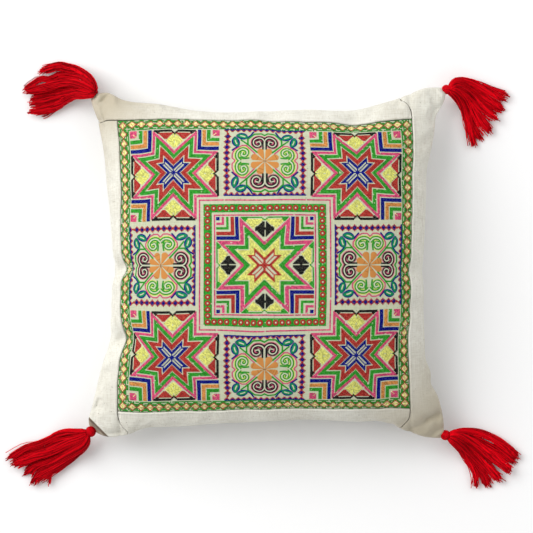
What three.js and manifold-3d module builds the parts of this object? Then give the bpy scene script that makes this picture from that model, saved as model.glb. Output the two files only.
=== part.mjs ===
// A filled square cushion cover lying on its back: an embroidered centre panel framed by four
// cloth strips, a plain back, and a thread tassel sewn to each corner.
// Millimetres, +Z up, the embroidered face upwards. The origin is on the floor under the middle
// of the cushion, +X runs to the cover's right side and +Y to its top side.
import * as THREE from "three";
import Module from "manifold-3d";

const wasm = await Module();
wasm.setup();

// Driving sizes
const COVER = 450; // the cover's cut size between its side seams, flat
const PANEL = 366; // the embroidered centre panel, flat
const PANEL_EDGE = PANEL / COVER; // the panel's edge, as a share of the way out to the side seam
const PLAN_REACH = 225.5; // how far half the cover's cloth reaches in plan where nothing draws it in
const DRAW_IN_POWER = 8; // how close to the seam the sides are drawn in
const CROWN = 74; // rise of the face above the side seam
const UNDERSIDE = 70; // fall of the back below the side seam, before the floor flattens it
const SEAM_HEIGHT = 56; // the side seam above the floor, half way along a side
const CORNER_DROOP = 32; // how much lower the seam lies at the corners
const DROOP_POWER = 3;
const ROUNDNESS = 0.68; // power of the crown's fall from the middle to the seam
const SEAM_DEPTH = 4.4; // thickness of the cushion at its side seam
const CLOTH = 1.6; // thickness of the face cloth
const SMALLEST_BODY = 1; // cubic millimetres: less is a remnant of a union, not a lock
const SHORTEST_EDGE = 0.03; // edges that a union leaves shorter than this are closed up
const CLOTH_GAP = 0.6; // between the face cloth and the filled body under it
const SEWN_GAP = 0.6; // between two face pieces at their seam

// Where the outline lies in plan, measured from the middle, at each share of the way along a side
const OUTLINE = [
  { along: -1.0, right: 222, left: 217, top: 214, bottom: 206 },
  { along: -0.9, right: 224, left: 220, top: 216, bottom: 212 },
  { along: -0.8, right: 221, left: 215, top: 208, bottom: 210 },
  { along: -0.6, right: 208, left: 204, top: 201, bottom: 201 },
  { along: -0.4, right: 198, left: 192, top: 191, bottom: 198 },
  { along: -0.2, right: 197, left: 188, top: 188, bottom: 194 },
  { along: 0.0, right: 196, left: 186, top: 190, bottom: 192 },
  { along: 0.2, right: 198, left: 189, top: 191, bottom: 189 },
  { along: 0.4, right: 200, left: 193, top: 191, bottom: 191 },
  { along: 0.6, right: 206, left: 198, top: 198, bottom: 196 },
  { along: 0.8, right: 214, left: 206, top: 211, bottom: 207 },
  { along: 0.9, right: 220, left: 210, top: 219, bottom: 214 },
  { along: 1.0, right: 222, left: 209, top: 219, bottom: 215 },
];

// Troughs where the side seams pull the face in: the place at the seam and at the inner end, in
// shares of the cover's half size, with the depth and half width in millimetres
const CREASES = [
  { name: "left, middle", u: -1, v: -0.02, innerU: -0.64, innerV: -0.02, depth: 11, wide: 11 },
  { name: "left, low", u: -1, v: -0.43, innerU: -0.64, innerV: -0.4, depth: 11, wide: 13 },
  { name: "right, middle", u: 1, v: -0.03, innerU: 0.72, innerV: -0.03, depth: 5, wide: 11 },
  { name: "right, low", u: 1, v: -0.24, innerU: 0.74, innerV: -0.23, depth: 4, wide: 11 },
  { name: "top, middle", u: 0.04, v: 1, innerU: 0.04, innerV: 0.74, depth: 4, wide: 12 },
  { name: "top, right", u: 0.52, v: 1, innerU: 0.5, innerV: 0.66, depth: 9, wide: 24 },
  { name: "bottom, right", u: 0.6, v: -1, innerU: 0.56, innerV: -0.76, depth: 4, wide: 14 },
];
const CREASE_AT_SEAM = 0.25; // a trough's depth at the seam, as a share of its full depth
const CREASE_DEEPEST = 0.4; // where it is deepest, from the seam (0) to its inner end (1)

// The tassels' skirts in plan: the edge of the skirt that lies nearer the top of the cover and the
// one nearer the bottom, from the neck to the ends, and the middle of the ends
const TASSELS = [
  {
    name: "tassel_top_left", sideX: -1, sideY: 1, headRadius: 5.2,
    upper: [[-222, 244], [-233, 252], [-256, 256], [-284, 248]],
    lower: [[-237, 214], [-247, 211], [-258, 199], [-290, 188]],
    reach: [-303, 220],
  },
  {
    name: "tassel_top_right", sideX: 1, sideY: 1, headRadius: 5.4,
    upper: [[243, 234], [258, 235], [282, 226], [306, 213]],
    lower: [[243, 205], [248, 188], [253, 171], [260, 153]],
    reach: [294, 178],
  },
  {
    name: "tassel_bottom_left", sideX: -1, sideY: -1, headRadius: 6.6,
    upper: [[-241, -206], [-262, -210], [-287, -221], [-318, -232]],
    lower: [[-223, -234], [-237, -245], [-261, -260], [-291, -275]],
    reach: [-316, -256],
  },
  {
    name: "tassel_bottom_right", sideX: 1, sideY: -1, headRadius: 6.2,
    upper: [[253, -209], [275, -212], [299, -223], [321, -242]],
    lower: [[250, -242], [260, -257], [270, -271], [278, -286]],
    reach: [308, -272],
  },
];
const NECK_RADIUS = 3.6;
const NECK_START = 0.8; // along the tassel from the head's centre, in head radii
const BINDING_START = 1.15;
const BINDING_LENGTH = 4.2;
const BINDING_WALL = 1.4;
const BINDING_CLEARANCE = 0.35;
const FLARE_LENGTH = 6; // from the binding to where the locks part
const FLARE_RADIUS = 6.4;
const HEAD_GAP = 0.2; // between a tassel's head and the cushion's corner
const TASSEL_DIP = 0.42; // how steeply the tassel leaves the corner, down over across
const LOCK_ROWS = 3; // layers of locks in a skirt, lying on each other
const LOCKS_IN_ROW = 7;
const ROOT_DEPTH = 2; // how deep in the flare a lock starts
const ROOT_STAGGER = 0.37; // so that no two locks start in one plane
const ROOT_SPREAD = 0.7; // share of the flare's radius that the roots spread over, aside
const ROOT_RISE = 0.55; // and from layer to layer
const LOCK_RADIUS = 1.8;
const LOCK_TIP = 1.1; // a lock's radius at its end
const LAYER_STEP = 3.6; // from one layer of locks to the next, where they lie
const LOCK_STEPS = 7;
const LOCK_START = 0.17; // where a lock's own body starts, as a share of its length
const GATHERED_TO = 0.23; // and how far the locks lie together as one
const LOCK_CORNERS = [90, 210, 330].map(THREE.MathUtils.degToRad); // one side underneath
const LYING_FROM = 0.8; // share of a lock's length where it has come down to the floor

const MATERIAL = {
  linen: new THREE.MeshStandardMaterial({ color: 0xd9d4c2, roughness: 0.9, metalness: 0 }),
  panel: new THREE.MeshStandardMaterial({ color: 0xb9b48e, roughness: 0.88, metalness: 0 }),
  red: new THREE.MeshStandardMaterial({ color: 0xb40a14, roughness: 0.7, metalness: 0 }),
};

// A smooth curve through one column of the rows, whose slope at each row comes from its neighbours
function smoothColumn(rows, column, at) {
  const last = rows.length - 1;
  let i = 0;
  while (i < last - 1 && at > rows[i + 1].along) i++;
  const slope = (k) => {
    const before = rows[Math.max(k - 1, 0)];
    const after = rows[Math.min(k + 1, last)];
    return (after[column] - before[column]) / (after.along - before.along);
  };
  const span = rows[i + 1].along - rows[i].along;
  const t = (at - rows[i].along) / span;
  const start = rows[i][column] * (2 * t ** 3 - 3 * t ** 2 + 1) + slope(i) * span * (t ** 3 - 2 * t ** 2 + t);
  const end = rows[i + 1][column] * (3 * t ** 2 - 2 * t ** 3) + slope(i + 1) * span * (t ** 3 - t ** 2);
  return start + end;
}

function smoothStep(low, high, x) {
  const t = THREE.MathUtils.clamp((x - low) / (high - low), 0, 1);
  return t * t * (3 - 2 * t);
}

// Cloth position u or v to plan: its own length until close to the seam, where it is drawn in
function drawnIn(share, reach) {
  const size = Math.abs(share);
  return Math.sign(share) * (PLAN_REACH * size - (PLAN_REACH - reach) * size ** DRAW_IN_POWER);
}

function fall(share) {
  return Math.max(0, 1 - share * share) ** ROUNDNESS;
}

// The filled form before creasing. side is 1 for the face and -1 for the back.
function filledPoint(u, v, side) {
  const x = drawnIn(u, smoothColumn(OUTLINE, u > 0 ? "right" : "left", v));
  const y = drawnIn(v, smoothColumn(OUTLINE, v > 0 ? "top" : "bottom", u));
  const seam = SEAM_HEIGHT - CORNER_DROOP * Math.abs(u * v) ** DROOP_POWER;
  const puff = fall(u) * fall(v);
  const z = side > 0
    ? seam + SEAM_DEPTH / 2 + CROWN * puff
    : Math.max(0, seam - SEAM_DEPTH / 2 - UNDERSIDE * puff);
  return new THREE.Vector3(x, y, z);
}

const NORMAL_STEP = 0.01;
const NORMAL_LIMIT = 0.97; // normals are read a little inside the seam, where the form is smooth

function outward(u, v, side) {
  const a = THREE.MathUtils.clamp(u, -NORMAL_LIMIT, NORMAL_LIMIT);
  const b = THREE.MathUtils.clamp(v, -NORMAL_LIMIT, NORMAL_LIMIT);
  const alongU = filledPoint(a + NORMAL_STEP, b, side).sub(filledPoint(a - NORMAL_STEP, b, side));
  const alongV = filledPoint(a, b + NORMAL_STEP, side).sub(filledPoint(a, b - NORMAL_STEP, side));
  return alongU.cross(alongV).normalize().multiplyScalar(side);
}

// How far the creases pull the cloth in at a place
function creaseDepth(u, v) {
  const half = COVER / 2;
  let depth = 0;
  for (const crease of CREASES) {
    const run = new THREE.Vector2(crease.innerU - crease.u, crease.innerV - crease.v);
    const to = new THREE.Vector2(u - crease.u, v - crease.v);
    const inwards = to.dot(run) / run.lengthSq(); // 0 at the seam, 1 at the inner end
    const aside = Math.abs(to.cross(run) / run.length()) * half;
    const across = Math.exp(-((aside / crease.wide) ** 2));
    const deepening = THREE.MathUtils.lerp(CREASE_AT_SEAM, 1, smoothStep(0, CREASE_DEEPEST, inwards));
    depth += crease.depth * across * deepening * (1 - smoothStep(CREASE_DEEPEST, 1, inwards));
  }
  return depth;
}

// A point of the outer face or back, or below it by an offset into the cushion
function cushionPoint(u, v, side, offset) {
  const inward = offset + (side > 0 ? creaseDepth(u, v) : 0);
  return filledPoint(u, v, side).addScaledVector(outward(u, v, side), -inward);
}

// Shares of the way across the cover where the mesh has its lines
function stations() {
  const inPanel = 20;
  const inStrip = [0.28, 0.56, 0.8, 0.93, 1];
  const outer = inStrip.map((share) => PANEL_EDGE + (1 - PANEL_EDGE) * share);
  const inner = Array.from({ length: inPanel + 1 }, (_, i) => PANEL_EDGE * ((2 * i) / inPanel - 1));
  return [...outer.map((share) => -share).reverse(), ...inner, ...outer];
}
const STATIONS = stations();

// The stations from low to high, with each end moved in by half a seam's gap where it is a seam
function between(low, high) {
  const gap = SEWN_GAP / COVER;
  return STATIONS.filter((share) => share > low - 1e-6 && share < high + 1e-6).map((share) => {
    if (Math.abs(share - low) < 1e-6 && low > -1) return share + gap;
    if (Math.abs(share - high) < 1e-6 && high < 1) return share - gap;
    return share;
  });
}

// A closed solid between two grids of points over the same u and v lines
function slab(us, vs, upperPoint, lowerPoint) {
  const places = [];
  const faces = [];
  const columns = us.length;
  const upper = (i, j) => j * columns + i;
  const lower = (i, j) => columns * vs.length + upper(i, j);
  for (const point of [upperPoint, lowerPoint])
    for (const v of vs) for (const u of us) places.push(...point(u, v).toArray());
  const quad = (a, b, c, d) => faces.push(a, b, c, a, c, d);
  for (let j = 0; j < vs.length - 1; j++)
    for (let i = 0; i < columns - 1; i++) {
      quad(upper(i, j), upper(i + 1, j), upper(i + 1, j + 1), upper(i, j + 1));
      quad(lower(i, j), lower(i, j + 1), lower(i + 1, j + 1), lower(i + 1, j));
    }
  const right = columns - 1;
  const top = vs.length - 1;
  for (let i = 0; i < right; i++) {
    quad(upper(i, 0), lower(i, 0), lower(i + 1, 0), upper(i + 1, 0));
    quad(upper(i + 1, top), lower(i + 1, top), lower(i, top), upper(i, top));
  }
  for (let j = 0; j < top; j++) {
    quad(upper(0, j + 1), lower(0, j + 1), lower(0, j), upper(0, j));
    quad(upper(right, j), lower(right, j), lower(right, j + 1), upper(right, j + 1));
  }
  const geometry = new THREE.BufferGeometry();
  geometry.setAttribute("position", new THREE.Float32BufferAttribute(places, 3));
  geometry.setIndex(faces);
  return geometry;
}

function named(name, geometry, material) {
  const mesh = new THREE.Mesh(geometry, material);
  mesh.name = name;
  return mesh;
}

// The back cloth and the filling it holds, as one filled form
function backBody() {
  const under = CLOTH + CLOTH_GAP;
  const form = slab(
    STATIONS,
    STATIONS,
    (u, v) => cushionPoint(u, v, 1, under),
    (u, v) => cushionPoint(u, v, -1, 0),
  );
  return named("cushion_back", form, MATERIAL.linen);
}

// One piece of the face: a sheet lying on the crown between two pairs of seams
function facePiece(name, us, vs, material) {
  const sheet = slab(us, vs, (u, v) => cushionPoint(u, v, 1, 0), (u, v) => cushionPoint(u, v, 1, CLOTH));
  return named(name, sheet, material);
}

function facePieces() {
  const p = PANEL_EDGE;
  return [
    facePiece("embroidered_panel", between(-p, p), between(-p, p), MATERIAL.panel),
    facePiece("border_top", between(-1, p), between(p, 1), MATERIAL.linen),
    facePiece("border_right", between(p, 1), between(-1, 1), MATERIAL.linen),
    facePiece("border_bottom", between(-p, p), between(-1, -p), MATERIAL.linen),
    facePiece("border_left", between(-1, -p), between(-1, p), MATERIAL.linen),
  ];
}

// A solid from a geometry that has positions and an index alone
function solid(geometry) {
  return new wasm.Manifold(
    new wasm.Mesh({
      numProp: 3,
      vertProperties: new Float32Array(geometry.attributes.position.array),
      triVerts: new Uint32Array(geometry.index.array),
    }),
  );
}

function geometryOf(made) {
  const mesh = made.getMesh();
  const geometry = new THREE.BufferGeometry();
  geometry.setAttribute("position", new THREE.Float32BufferAttribute(mesh.vertProperties, 3));
  geometry.setIndex(new THREE.BufferAttribute(mesh.triVerts, 1));
  return geometry;
}

// The one body of a union, with the spaces that its parts shut in filled
function withoutHollows(made) {
  const shells = made.simplify(SHORTEST_EDGE).decompose();
  const bodies = shells.filter((shell) => shell.volume() > SMALLEST_BODY);
  if (bodies.length !== 1) throw new Error("a lock isn't fused to its tassel's neck");
  return bodies[0];
}

// A closed body swept through rings of points, each ring a list of the same length
function sweptRings(rings) {
  const places = [];
  const faces = [];
  const sides = rings[0].length;
  for (const ring of rings) for (const point of ring) places.push(...point.toArray());
  const last = (rings.length - 1) * sides;
  for (let r = 0; r < rings.length - 1; r++)
    for (let s = 0; s < sides; s++) {
      const a = r * sides + s;
      const b = r * sides + ((s + 1) % sides);
      faces.push(a, b, b + sides, a, b + sides, a + sides);
    }
  for (let s = 1; s < sides - 1; s++) {
    faces.push(0, s + 1, s);
    faces.push(last, last + s, last + s + 1);
  }
  const geometry = new THREE.BufferGeometry();
  geometry.setAttribute("position", new THREE.Float32BufferAttribute(places, 3));
  geometry.setIndex(faces);
  return geometry;
}

// Rings of a turned body about an axis, from a profile of places along it and radii
function turnedRings(origin, frame, profile, sides) {
  return profile.map(([along, radius]) =>
    Array.from({ length: sides }, (_, s) => {
      const angle = (2 * Math.PI * s) / sides;
      return origin
        .clone()
        .addScaledVector(frame.along, along)
        .addScaledVector(frame.aside, radius * Math.cos(angle))
        .addScaledVector(frame.up, radius * Math.sin(angle));
    }),
  );
}

// Where a tassel's head sits off its corner, and its own axes: along the skirt, aside and up
function tasselFrame(tassel) {
  const corner = filledPoint(tassel.sideX, tassel.sideY, 1);
  corner.z -= SEAM_DEPTH / 2;
  const first = (k) => (tassel.upper[0][k] + tassel.lower[0][k]) / 2;
  const flat = new THREE.Vector3(first(0) - corner.x, first(1) - corner.y, 0).normalize();
  const along = flat.clone().setZ(-TASSEL_DIP).normalize();
  const aside = new THREE.Vector3(0, 0, 1).cross(flat).normalize();
  const up = along.clone().cross(aside).normalize();
  const off = new THREE.Vector3(tassel.sideX, tassel.sideY, 0).normalize().add(flat).normalize();
  const head = corner.clone().addScaledVector(off, tassel.headRadius + HEAD_GAP);
  return { head, along, aside, up };
}

// Points down the middle of one lock: out of the flare, down to the floor and along it.
// share runs from the upper edge of the skirt (0) to the lower (1), layer from the floor up.
function lockRoute(tassel, frame, share, layer) {
  const reach = tassel.headRadius * BINDING_START + BINDING_LENGTH + FLARE_LENGTH;
  const root = frame.head
    .clone()
    .addScaledVector(frame.along, reach - ROOT_DEPTH - ROOT_STAGGER * (layer + 3 * share))
    .addScaledVector(frame.aside, (1 - 2 * share) * frame.turn * FLARE_RADIUS * ROOT_SPREAD)
    .addScaledVector(frame.up, (layer - (LOCK_ROWS - 1) / 2) * FLARE_RADIUS * ROOT_RISE);
  const lying = LOCK_RADIUS / 2 + layer * LAYER_STEP;
  const points = [root];
  tassel.upper.forEach(([upperX, upperY], k) => {
    const [lowerX, lowerY] = tassel.lower[k];
    const place = new THREE.Vector3(
      THREE.MathUtils.lerp(upperX, lowerX, share),
      THREE.MathUtils.lerp(upperY, lowerY, share),
      0,
    );
    const t = (k + 1) / tassel.upper.length;
    if (k === tassel.upper.length - 1) {
      // The ends bow out to the skirt's reach, and every other lock is cut a little shorter
      const bow = 4 * share * (1 - share);
      const middle = new THREE.Vector3((upperX + lowerX) / 2, (upperY + lowerY) / 2, 0);
      place.addScaledVector(new THREE.Vector3(...tassel.reach, 0).sub(middle), bow);
    }
    const drop = smoothStep(0, LYING_FROM, t);
    place.z = THREE.MathUtils.lerp(root.z, lying, drop);
    points.push(place);
  });
  return points;
}

// A lock of threads: a tapering three-sided body that lies on one of its sides
function lockBody(curve, seed) {
  const end = 1 - 0.06 * ((seed * 7) % 3);
  const rings = [];
  for (let step = 0; step <= LOCK_STEPS; step++) {
    const t = THREE.MathUtils.lerp(LOCK_START, end, step / LOCK_STEPS);
    const centre = curve.getPoint(t);
    const along = curve.getTangent(t);
    const aside = new THREE.Vector3(0, 0, 1).cross(along).normalize();
    const up = along.clone().cross(aside).normalize();
    const radius = THREE.MathUtils.lerp(LOCK_RADIUS, LOCK_TIP, smoothStep(0.6, 1, t));
    const ring = LOCK_CORNERS.map((angle) =>
      centre
        .clone()
        .addScaledVector(aside, radius * Math.cos(angle))
        .addScaledVector(up, radius * Math.sin(angle)),
    );
    const lowest = Math.min(...ring.map((point) => point.z));
    for (const point of ring) point.z -= Math.min(lowest, 0);
    rings.push(ring);
  }
  return sweptRings(rings);
}

// The knotted head, the neck, and the skirt's locks, whose roots are fused into the flare
function tasselBody(tassel, frame) {
  const r = tassel.headRadius;
  const bindingAt = r * BINDING_START;
  const flareAt = bindingAt + BINDING_LENGTH + BINDING_CLEARANCE;
  const profile = [];
  const ballRings = 7;
  for (let k = 0; k <= ballRings; k++) {
    const angle = Math.PI * (1 - k / ballRings);
    const along = r * Math.cos(angle);
    if (along > r * NECK_START) break;
    profile.push([along, Math.max(r * Math.sin(angle), 0.6)]);
  }
  profile.push([r * NECK_START + 0.6, NECK_RADIUS]);
  profile.push([flareAt, NECK_RADIUS]);
  profile.push([flareAt + FLARE_LENGTH * 0.5, FLARE_RADIUS * 0.86]);
  profile.push([flareAt + FLARE_LENGTH, FLARE_RADIUS]);
  const neck = turnedRings(frame.head, frame, profile, 12);
  let body = solid(sweptRings(neck));
  const gathered = neck[neck.length - 2].map((point) => point.toArray());
  for (let layer = 0; layer < LOCK_ROWS; layer++)
    for (let k = 0; k < LOCKS_IN_ROW; k++) {
      const stagger = layer % 2 ? 0.5 : 0;
      const share = THREE.MathUtils.clamp((k + stagger) / (LOCKS_IN_ROW - 0.5), 0, 1);
      const route = lockRoute(tassel, frame, share, layer);
      const curve = new THREE.CatmullRomCurve3(route, false, "centripetal");
      body = body.add(solid(lockBody(curve, layer * LOCKS_IN_ROW + k)));
      gathered.push(curve.getPoint(GATHERED_TO).toArray());
    }
  body = body.add(wasm.Manifold.hull(gathered));
  return named(tassel.name, geometryOf(withoutHollows(body)), MATERIAL.red);
}

// The thread wound round the neck, under the head
function tasselBinding(tassel, frame) {
  const start = tassel.headRadius * BINDING_START;
  const inner = NECK_RADIUS + BINDING_CLEARANCE;
  const outer = inner + BINDING_WALL;
  const end = start + BINDING_LENGTH;
  const bulge = (start + end) / 2;
  const outside = [[start, inner + 0.5], [start + 0.6, outer - 0.3], [bulge, outer], [end - 0.6, outer - 0.3], [end, inner + 0.5]];
  const ring = solid(sweptRings(turnedRings(frame.head, frame, outside, 12)));
  const bore = solid(sweptRings(turnedRings(frame.head, frame, [[start - 2, inner], [end + 2, inner]], 12)));
  return named(tassel.name + "_binding", geometryOf(ring.subtract(bore)), MATERIAL.red);
}

function tasselPieces() {
  return TASSELS.flatMap((tassel) => {
    const frame = tasselFrame(tassel);
    // aside points to the skirt's upper edge where turn is 1, and to its lower edge where it is -1
    const across = new THREE.Vector3(
      tassel.upper[0][0] - tassel.lower[0][0],
      tassel.upper[0][1] - tassel.lower[0][1],
      0,
    );
    frame.turn = Math.sign(across.dot(frame.aside));
    return [tasselBody(tassel, frame), tasselBinding(tassel, frame)];
  });
}

const cushion = new THREE.Group();
cushion.add(backBody(), ...facePieces(), ...tasselPieces());

export default cushion;
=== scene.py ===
"""The look of a filled, embroidered square cushion cover with a thread tassel at each corner.

Lengths are in millimetres in the form's tables and in metres on the finished meshes. Places on the
cover are shares of its half size, u across and v up, from -1 to 1 at the side seams.
"""

import math

import bpy
import numpy as np
from bpy.props import FloatProperty, FloatVectorProperty, IntProperty, PointerProperty
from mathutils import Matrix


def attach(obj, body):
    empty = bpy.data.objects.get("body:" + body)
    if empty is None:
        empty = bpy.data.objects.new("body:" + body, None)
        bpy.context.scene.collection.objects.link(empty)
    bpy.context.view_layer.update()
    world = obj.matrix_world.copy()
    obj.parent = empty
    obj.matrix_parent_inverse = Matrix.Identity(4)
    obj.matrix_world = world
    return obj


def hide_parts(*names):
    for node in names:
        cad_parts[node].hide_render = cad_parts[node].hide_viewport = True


bl_info = {
    "name": "Embroidered cushion cover",
    "version": (1, 0, 0),
    "blender": (4, 5, 0),
    "location": "3D View > Sidebar > Cushion",
    "description": "Builds a filled cushion cover with cross-stitch, linen borders and tassels",
    "category": "Object",
}

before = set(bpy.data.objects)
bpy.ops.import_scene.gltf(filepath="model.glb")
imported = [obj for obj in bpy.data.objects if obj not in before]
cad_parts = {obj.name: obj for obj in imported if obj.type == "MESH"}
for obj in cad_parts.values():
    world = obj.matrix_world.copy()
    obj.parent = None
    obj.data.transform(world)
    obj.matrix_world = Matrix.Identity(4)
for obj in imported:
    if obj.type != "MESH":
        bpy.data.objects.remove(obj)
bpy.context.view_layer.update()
MM = 0.001
TINY = 1e-9

# The photo is seen straight down: its middle over the cover's middle, and its scale
PHOTO_MIDDLE = (264.5, 265.2)
PHOTO_MM = 1.25
PHOTO_SIZE = 533

# The filled form, with the same sizes as the solids
COVER = 450
PANEL = 366
PANEL_EDGE = PANEL / COVER
PLAN_REACH = 225.5
DRAW_IN_POWER = 8
CROWN = 74
UNDERSIDE = 70
SEAM_HEIGHT = 56
CORNER_DROOP = 32
DROOP_POWER = 3
ROUNDNESS = 0.68
SEAM_DEPTH = 4.4
CLOTH = 1.6

# Between two sewn edges, wider than in the solids so that the seam's shade shows
SEWN_GAP = 1.2

# A small step in shares, for slopes, and how far out the form's slope is read
SHARE_STEP = 0.01
SLOPE_LIMIT = 0.97

# How far the outline lies from the middle at each share of the way along a side
OUTLINE = {
    "along": (-1.0, -0.9, -0.8, -0.6, -0.4, -0.2, 0.0, 0.2, 0.4, 0.6, 0.8, 0.9, 1.0),
    "right": (222, 224, 221, 208, 198, 197, 196, 198, 200, 206, 214, 220, 222),
    "left": (217, 220, 215, 204, 192, 188, 186, 189, 193, 198, 206, 210, 209),
    "top": (214, 216, 208, 201, 191, 188, 190, 191, 191, 198, 211, 219, 219),
    "bottom": (206, 212, 210, 201, 198, 194, 192, 189, 191, 196, 207, 214, 215),
}

# Troughs where the side seams pull the face in: from a place at the seam to an inner end
CREASES = (
    {"seam": (-1, -0.02), "inner": (-0.64, -0.02), "depth": 11, "wide": 11},
    {"seam": (-1, -0.43), "inner": (-0.64, -0.40), "depth": 11, "wide": 13},
    {"seam": (1, -0.03), "inner": (0.72, -0.03), "depth": 5, "wide": 11},
    {"seam": (1, -0.24), "inner": (0.74, -0.23), "depth": 4, "wide": 11},
    {"seam": (0.04, 1), "inner": (0.04, 0.74), "depth": 4, "wide": 12},
    {"seam": (0.52, 1), "inner": (0.50, 0.66), "depth": 9, "wide": 24},
    {"seam": (0.60, -1), "inner": (0.56, -0.76), "depth": 4, "wide": 14},
)
CREASE_AT_SEAM = 0.25
CREASE_DEEPEST = 0.4

# How far the sewn cloth is pulled out of its even square: a place and its pull across and up
PULLS = (
    ((-0.81, 0.81), (-4.4, 0.5)),
    ((0.81, 0.81), (2.6, 2.0)),
    ((-0.81, -0.81), (-2.0, -1.5)),
    ((0.81, -0.81), (-0.4, 1.0)),
    ((-0.49, 0.49), (-2.6, 4.4)),
    ((-0.49, 0.73), (-0.8, 4.7)),
    ((-0.73, 0.49), (-1.2, -1.4)),
    ((-0.26, 0.49), (-1.8, 3.6)),
    ((-0.49, 0.26), (-3.4, 0.4)),
    ((0.49, 0.49), (4.9, 4.6)),
    ((0.49, 0.73), (2.3, 1.9)),
    ((0.26, 0.49), (2.5, 3.4)),
    ((0.73, 0.49), (4.5, 1.5)),
    ((0.49, 0.26), (5.0, 0.9)),
    ((-0.49, -0.49), (-4.5, -4.3)),
    ((-0.49, -0.26), (-4.0, -2.4)),
    ((-0.73, -0.49), (-1.1, -1.2)),
    ((-0.26, -0.49), (-1.8, -3.6)),
    ((-0.49, -0.73), (-1.9, -3.1)),
    ((0.49, -0.49), (3.1, -1.0)),
    ((0.49, -0.26), (3.2, -0.6)),
    ((0.26, -0.49), (1.6, -2.0)),
    ((0.73, -0.49), (0.5, 1.4)),
    ((0.49, -0.73), (-0.6, -2.3)),
    ((-0.81, 0.65), (-2.0, -1.2)),
    ((-0.81, 0.37), (-1.4, -0.6)),
    ((-0.81, 0.08), (-1.8, 0.0)),
    ((-0.81, -0.14), (-3.2, 0.0)),
    ((-0.81, -0.42), (0.4, 0.4)),
    ((-0.81, -0.59), (-3.8, 1.8)),
    ((-0.65, 0.81), (-0.8, 3.2)),
    ((-0.37, 0.81), (-0.6, 4.5)),
    ((-0.08, 0.81), (0.0, 4.0)),
    ((0.20, 0.81), (0.6, 1.5)),
    ((0.48, 0.81), (0.8, 1.4)),
    ((0.65, 0.81), (1.2, 0.9)),
    ((0.81, 0.65), (6.0, 1.0)),
    ((0.81, 0.37), (5.6, 0.0)),
    ((0.81, 0.08), (4.6, 0.0)),
    ((0.81, -0.20), (4.2, 0.0)),
    ((0.81, -0.48), (0.6, 0.8)),
    ((-0.65, -0.81), (-1.0, -4.9)),
    ((-0.37, -0.81), (-1.0, -3.9)),
    ((-0.08, -0.81), (0.0, -2.6)),
    ((0.20, -0.81), (0.6, -2.0)),
    ((0.48, -0.81), (0.8, -2.3)),
    ((0.0, 0.0), (0.0, 0.0)),
    ((-0.33, 0.33), (0.0, 0.0)),
    ((0.33, 0.33), (0.0, 0.0)),
    ((-0.33, -0.33), (0.0, 0.8)),
    ((0.33, -0.33), (0.6, 0.0)),
    ((-0.21, 0.38), (-1.6, 0.6)),
    ((0.21, 0.38), (2.6, 1.2)),
    ((-0.38, 0.21), (0.0, 0.4)),
    ((-0.38, -0.21), (0.0, -1.0)),
    ((0.38, 0.21), (2.0, 1.4)),
    ((0.38, -0.21), (2.2, 0.0)),
    ((0.75, 0.21), (5.1, 2.0)),
    ((0.75, -0.21), (5.1, 0.9)),
    ((-0.75, 0.21), (-2.8, -1.7)),
    ((-0.75, -0.21), (-3.1, -1.6)),
)
PULL_REACH = 0.085
# The pulls fade out between these shares, and a share is at least so many millimetres long
PULL_FADE = (0.86, 0.99)
SHARE_LEAST_MM = 100
LEAST_WEIGHT = 1e-6

# The four seams that run out to a corner bend at their outer ends: seam's end and its pull
SEAM_ENDS = (
    ((0.81, 1.0), (-15, 0)),
    ((0.81, -1.0), (-12, 0)),
    ((-0.81, -1.0), (13, 0)),
    ((-1.0, 0.81), (0, -3.0)),
)
SEAM_END_REACH = 0.085

# Where the outline is pulled out or in near the corners: a place at the seam, its pull and reach
EDGE_PULLS = (
    ((-1.0, 1.0), (-6.5, -1.0), 0.07),
    ((-1.0, 0.92), (-3.5, 0), 0.07),
    ((-0.72, 1.0), (0, -3.0), 0.12),
    ((1.0, 1.0), (5.0, 3.5), 0.09),
    ((0.88, 1.0), (0, 2.0), 0.06),
    ((1.0, 0.83), (-2.2, 0), 0.05),
    ((1.0, 0.92), (2.0, 0), 0.05),
    ((1.0, 0.53), (-3.0, 0), 0.09),
    ((1.0, -0.52), (-3.4, 0), 0.07),
    ((-0.85, -1.0), (0, -2.6), 0.09),
    ((-0.66, -1.0), (0, 1.5), 0.07),
    ((1.0, -0.665), (-4.5, 0), 0.045),
    ((1.0, -1.0), (1.5, -1.2), 0.08),
    ((0.66, -1.0), (0, 4.0), 0.08),
    ((0.76, -1.0), (0, 3.6), 0.05),
)

# Folds of the slack cloth at the corners: a path, its height, or depth below 0, and its width
FOLDS = (
    {"path": ((-0.885, 1.0), (-0.91, 0.965), (-0.93, 0.94), (-0.95, 0.925)), "height": -3.4, "wide": 3.2},
    {"path": ((-0.95, 0.985), (-0.952, 0.955), (-0.958, 0.90), (-0.958, 0.81)), "height": 3.2, "wide": 3.8},
    {"path": ((-0.98, 0.95), (-0.982, 0.88)), "height": 1.2, "wide": 2.0},
    {"path": ((-0.92, 0.91), (-0.925, 0.82)), "height": -1.6, "wide": 6.0},
    {"path": ((1.0, 0.91), (0.986, 0.885), (0.977, 0.86), (0.985, 0.80)), "height": -2.4, "wide": 4.0},
    {"path": ((0.962, 0.98), (0.985, 0.95)), "height": 3.0, "wide": 2.0},
    {"path": ((1.0, -0.83), (0.95, -0.855), (0.905, -0.865)), "height": -5.6, "wide": 4.6},
    {"path": ((0.895, -0.885), (0.84, -0.93), (0.81, -0.98)), "height": -4.4, "wide": 5.0},
    {"path": ((1.0, -0.915), (0.95, -0.955), (0.915, -1.0)), "height": -3.8, "wide": 3.8},
    {"path": ((-0.93, -0.95), (-0.87, -0.97), (-0.80, -0.98)), "height": -2.6, "wide": 3.8},
    {"path": ((-0.97, -0.80), (-0.955, -0.76)), "height": -2.6, "wide": 3.0},
)

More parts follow.
